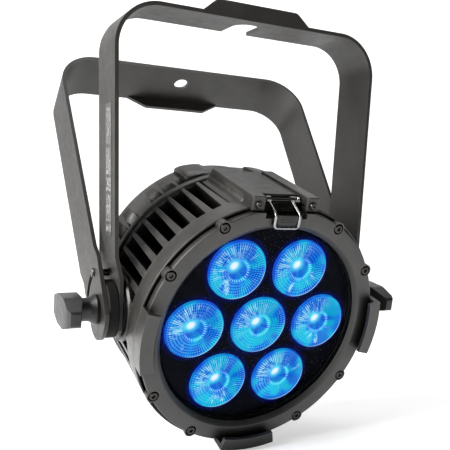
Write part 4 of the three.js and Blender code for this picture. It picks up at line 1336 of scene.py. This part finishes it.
def bail():
    half = [
        (BAIL_HALF, -PIN_DEPTH - 2.2, PIN_HEIGHT - 0.4), (BAIL_HALF, -50.2, 92.2),
        (BAIL_HALF, -50.2, 82.5),
    ]
    loop = wire(rounded(mirrored(half), 2.6, 12, closed=False), 1.1, 16)
    eyes = [
        bar((s * BAIL_HALF - 1.6, -PIN_DEPTH, PIN_HEIGHT), (s * BAIL_HALF + 1.6, -PIN_DEPTH, PIN_HEIGHT), 2.9)
        for s in (-1, 1)
    ]
    reach = BAIL_HALF + 3
    bore = bar((-reach, -PIN_DEPTH, PIN_HEIGHT), (reach, -PIN_DEPTH, PIN_HEIGHT), 1.8)
    return cut(union(loop, joined(eyes)), bore)


def tab():
    """The latch's finger tab, with a raised rim across its lower end."""
    half, low, high = 8.4, 84.6, 91.6
    outline = rounded([(-half, low), (half, low), (half, high), (-half, high)], [3, 3, 0.8, 0.8])
    plate = prism(outline, "y", -50.6, -49.2)
    ridges = [
        prism(rounded([(-5.5, z), (5.5, z), (5.5, z + 0.7), (-5.5, z + 0.7)], 0.3), "y", -50.9, -50.4)
        for z in (86.6, 88.3, 90)
    ]
    return union(plate, joined(ridges))


def spring():
    turns, steps, pin_y, pin_z = 4, 96, -PIN_DEPTH, PIN_HEIGHT
    points = []
    for i in range(steps + 1):
        y, z = around(2.4, 360 * turns * i / steps)
        points.append((12.1 + 4.1 * i / steps, pin_y + y, pin_z + z))
    return wire(points, 0.45, 10)


piece("latch_bail_wire", bail(), HEAD, "latch", bright_steel, "steel", ["latch_bail"])
piece("latch_finger_tab", tab(), HEAD, "latch", moulded, "plastic", ["latch_tab"], edge=0.25)
piece(
    "latch_hinge_pin", bar((-19.7, -PIN_DEPTH, PIN_HEIGHT), (19.7, -PIN_DEPTH, PIN_HEIGHT), 1.5),
    material=black_steel, slot="black_steel", nodes=["latch_pin"], edge=0.2, **IN_HEAD,
)
piece(
    "latch_coil_spring", spring(), material=bright_steel, slot="steel",
    nodes=["latch_spring"], **IN_HEAD,
)
for side, sign in SIDES:
    face = -SKIRT_FRONT - 3.0
    piece(
        f"latch_screw_{side}_pan", pan_screw(
            sign * LATCH_SCREW_X, LATCH_SCREW_HEIGHT, face, 2.8, 1.6, face + 8, 1.4, 1.2,
        ),
        material=black_steel, slot="black_steel", nodes=[f"latch_screw_{side}"], edge=0.1, **IN_HEAD,
    )

# -------------------------------------------------------------------------- the rear

COVER_SCREWS = [around(88, angle) for angle in (45, 135, 225, 315)]
SEAT = -COVER_REAR + 0.3
WINDOW = {"half_wide": 22, "half_high": 9, "height": 28}
BUTTON_X = (-21, -7, 7, 21)
BUTTON_HEIGHT = 6
SOCKETS = (
    ("power_inlet", -38, -14, 7), ("power_outlet", 38, -14, 7),
    ("dmx_inlet", -15, -41, 2.5), ("dmx_outlet", 15, -41, 2.5),
)
VALVE_HEIGHT = -13
EYE_HEIGHT = 72


def through(x, z, radius, sides=48):
    return bar((x, -COVER_FRONT - 5, z), (x, -COVER_REAR + 5, z), radius, sides=sides)


def rear_cover():
    profile = [(0, COVER_FRONT), (COVER_RADIUS, COVER_FRONT), (COVER_RADIUS, COVER_REAR), (0, COVER_REAR)]
    plate = lathe(rounded(profile, [0, 0, 1.8, 0], 22, closed=False), FINE)
    window = prism(
        rectangle(WINDOW["half_wide"] + 0.3, WINDOW["half_high"] + 0.3, 0, WINDOW["height"], 1),
        "y", -COVER_FRONT - 5, -COVER_REAR + 5,
    )
    holes = [through(x, z, 1.9, 20) for x, z in COVER_SCREWS]
    holes += [through(x, BUTTON_HEIGHT, 3.9) for x in BUTTON_X]
    holes += [through(x, z, 11.1) for _, x, z, _ in SOCKETS]
    holes += [through(0, VALVE_HEIGHT, 4.3)]
    return cut(plate, window, joined(holes))


piece(
    "rear_cover_plate", rear_cover(), material=cast_coat, slot="cast_coat",
    nodes=["rear_cover"], edge=0.3, **IN_HEAD,
)
window_back = -COVER_FRONT + 1.9
piece(
    "display_pane", prism(
        rectangle(WINDOW["half_wide"], WINDOW["half_high"], 0, WINDOW["height"], 0.8),
        "y", window_back, window_back + 2.8,
    ), material=window_black, slot="screen", nodes=["display_window"], edge=0.2, **IN_HEAD,
)


def icon(i, face):
    """A raised mark on a button: menu bars, down, up and enter."""
    marks = []
    if i == 0:
        for z in (-1.1, 0, 1.1):
            marks.append(rectangle(1.4, 0.25, 0, z))
    elif i == 3:
        marks.append([around(1.3, 360 * k / 20) for k in range(20)])
    else:
        turn = 1 if i == 2 else -1
        marks.append([(-1.4, -0.9 * turn), (1.4, -0.9 * turn), (0, 1.3 * turn)])
    shapes = [prism(mark, "y", face - 0.1, face + 0.25) for mark in marks]
    return move(joined(shapes), Matrix.Translation((BUTTON_X[i], 0, BUTTON_HEIGHT)))


for i, x in enumerate(BUTTON_X):
    panel = -COVER_FRONT
    top = panel + 6.3
    cap = lathe_at([
        (0, -panel + 1.7), (4.7, -panel + 1.7), (4.7, -panel + 0.3), (3.5, -panel + 0.3),
        (3.4, -top + 0.7), (3.1, -top + 0.2), (2.7, -top), (0, -top),
    ], x, BUTTON_HEIGHT, 48)
    piece(
        f"button_{i + 1}_cap", cap, HEAD, f"button_{i + 1}", soft_rubber, "rubber", [f"button_{i + 1}"],
    )
    piece(f"button_{i + 1}_mark", icon(i, top), HEAD, f"button_{i + 1}", icon_grey, "plastic")


def panel_socket(name, x, z, reach):
    """A panel socket: flange, barrel and a block of contact holes inside a ring groove."""
    flange_plate = prism(rectangle(13, 13, x, z, 3), "y", SEAT, SEAT + 2)
    front = -(SEAT + reach)
    barrel = lathe_at([
        (0, -SEAT + 16), (10.5, -SEAT + 16), (10.5, front + 0.6), (10.1, front), (8.4, front),
        (8.4, front + 8), (5.8, front + 8), (5.8, front + 1.4), (5.3, front + 1), (0, front + 1),
    ], x, z, 72)
    face = SEAT + reach - 1
    power = name.startswith("power")
    count, circle, size = (3, 3.0, 1.1) if power else (5, 3.6, 0.6)
    holes = []
    for i in range(count):
        dx, dz = around(circle, 90 + 360 * i / count if power else 180 + 45 * i)
        holes.append(bar((x + dx, face - 4, z + dz), (x + dx, face + 1, z + dz), size, sides=20))
    corners = [(sx * 10.3, sz * 10.3) for sx in (-1, 1) for sz in (-1, 1)]
    dome = [(0, -SEAT - 2.9), (1.3, -SEAT - 2.7), (1.6, -SEAT - 1.9), (0, -SEAT - 1.9)]
    rivets = [lathe_at(dome, x + dx, z + dz, 24) for dx, dz in corners]
    shape = cut(union(flange_plate, barrel), joined(holes))
    return joined([shape] + rivets)


for name, x, z, reach in SOCKETS:
    piece(
        f"{name}_socket", panel_socket(name, x, z, reach), material=moulded, slot="plastic",
        nodes=[name], edge=0.25, **IN_HEAD,
    )

valve = union(
    bar((0, SEAT, VALVE_HEIGHT), (0, SEAT + 3, VALVE_HEIGHT), 7, 6.9, sides=6),
    lathe_at([
        (0, -SEAT + 8), (4, -SEAT + 8), (4, -SEAT - 2.5),
        (5.2, -SEAT - 3), (4.6, -SEAT - 3.5), (0, -SEAT - 3.5),
    ], 0, VALVE_HEIGHT, 40),
)
piece(
    "vent_valve_cap", valve, material=moulded, slot="plastic", nodes=["vent_valve"], edge=0.3, **IN_HEAD,
)


def eye():
    half, reach = 13, 19
    points = mirrored([(-half, SEAT + 1, EYE_HEIGHT), (-half, SEAT + reach, EYE_HEIGHT)])
    loop = wire(rounded(points, 8, 9, closed=False), 3, 24)
    feet = [
        lathe_at([
            (0, -SEAT), (5.5, -SEAT), (5.5, -SEAT - 1.6), (4.6, -SEAT - 2.5), (0, -SEAT - 2.5),
        ], x, EYE_HEIGHT, 48)
        for x in (-half, half)
    ]
    return union(loop, joined(feet))


piece("safety_eye_loop", eye(), material=bright_steel, slot="steel", nodes=["safety_eye"], **IN_HEAD)
for i, (x, z) in enumerate(COVER_SCREWS):
    screw = pan_screw(0, 0, 0, 3.2, 2, 6, 1.5, 1.4)
    move(screw, Matrix.Translation((x, SEAT, z)) @ Matrix.Rotation(math.pi, 4, "Z"))
    piece(
        f"rear_cover_screw_{i + 1}_pan", screw, material=black_steel, slot="black_steel",
        nodes=[f"rear_cover_screw_{i + 1}"], edge=0.12, **IN_HEAD,
    )

# ----------------------------------------------------- inner parts kept from the frame

for node, material in (
    ("led_board", board_green), ("driver_board", board_green), ("control_board", board_green),
    ("glass_gasket", soft_rubber), ("rear_gasket", soft_rubber),
):
    kept = frame["nodes"][node]
    kept.data.materials.clear()
    kept.data.materials.append(material)

# ---------------------------------------------------------------------------- the room


def stage_material(name, colour, glow):
    material, nodes, links, shader = principled(name)
    faint = noise(nodes, links, 3, 2, 0.5)
    links.new(
        ramp(nodes, links, faint, [(0.3, scaled(colour, 0.99)), (0.7, colour)]),
        shader.inputs["Base Color"],
    )
    shader.inputs["Roughness"].default_value = 0.9
    shader.inputs["Specular IOR Level"].default_value = 0.0
    shader.inputs["Emission Color"].default_value = (1, 1, 1, 1)
    shader.inputs["Emission Strength"].default_value = glow
    return material


low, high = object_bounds()
EYE_FROM_PIVOT = Vector((-0.2354, -0.4565, 0.0508))  # metres
LENS_LENGTH = 50.29  # mm, on a sensor 36 mm wide
eye_place = joint_place("head_tilt") + EYE_FROM_PIVOT
RIGHT = Vector((0.897, -0.442, 0.0)).normalized()
UP = Vector((-0.0104, -0.0210, 0.9997)).normalized()
BACK = RIGHT.cross(UP).normalized()


def sweep():
    """Floor and backdrop in one, square to the view."""
    away = Vector((-BACK.x, -BACK.y, 0)).normalized()
    across = Vector((-away.y, away.x, 0))
    floor = low[2] - 0.002
    middle = joint_place("head_tilt")
    profile = rounded([(-3.0, floor), (2.2, floor), (2.2, floor + 4.0)], 1.2, 6, closed=False)
    verts = []
    for side_way in (-4, 4):
        for out, height in profile:
            verts.append((
                middle.x + away.x * out + across.x * side_way,
                middle.y + away.y * out + across.y * side_way,
                height,
            ))
    count = len(profile)
    faces = [(i, i + 1, count + i + 1, count + i) for i in range(count - 1)]
    mesh = bpy.data.meshes.new("sweep")
    mesh.from_pydata(verts, [], faces)
    for face in mesh.polygons:
        face.use_smooth = True
    shape = bpy.data.objects.new("sweep", mesh)
    bpy.context.scene.collection.objects.link(shape)
    shape.data.materials.append(stage_material("sweep_white", (0.86, 0.86, 0.86), 0.45))
    return shape


sweep()


def softbox(name, place, target, wide, high_side, power, colour=(1, 1, 1)):
    lamp = bpy.data.lights.new(name, "AREA")
    lamp.shape = "RECTANGLE"
    lamp.size = wide
    lamp.size_y = high_side
    lamp.energy = power
    lamp.color = colour
    holder = bpy.data.objects.new(name, lamp)
    bpy.context.scene.collection.objects.link(holder)
    start = joint_place("head_tilt") + Vector(place)
    aim = joint_place("head_tilt") + Vector(target)
    facing = (aim - start).to_track_quat("-Z", "Y").to_matrix().to_4x4()
    holder.matrix_world = Matrix.Translation(start) @ facing
    return holder


softbox("key", (-1.6, -0.1, 0.9), (0, 0, 0.05), 1.0, 1.2, 86)
softbox("front_fill", (-0.9, -1.4, -0.1), (0, 0, 0), 1.0, 0.7, 5)
softbox("top", (0.2, 0.3, 1.6), (0, 0, 0.1), 1.4, 1.0, 13)

def room():
    """A dim room that looks pale wherever the sweep ends."""
    world = bpy.data.worlds.new("room")
    world.use_nodes = True
    nodes, links = world.node_tree.nodes, world.node_tree.links
    background = nodes["Background"]
    background.inputs["Color"].default_value = (1, 1, 1, 1)
    seen = nodes.new("ShaderNodeLightPath")
    strength = nodes.new("ShaderNodeMapRange")
    strength.inputs["To Min"].default_value = 0.03
    strength.inputs["To Max"].default_value = 0.92
    links.new(seen.outputs["Is Camera Ray"], strength.inputs["Value"])
    links.new(strength.outputs["Result"], background.inputs["Strength"])
    return world


bpy.context.scene.world = room()

camera = bpy.data.cameras.new("camera")
camera.lens = LENS_LENGTH
camera.sensor_width = 36
camera.clip_start = 0.02
camera_holder = bpy.data.objects.new("camera", camera)
bpy.context.scene.collection.objects.link(camera_holder)
turn = Matrix((RIGHT, UP, BACK)).transposed().to_4x4()
camera_holder.matrix_world = Matrix.Translation(eye_place) @ turn
bpy.context.scene.camera = camera_holder

bpy.context.scene.view_settings.view_transform = "Standard"
bpy.context.scene.view_settings.look = "None"
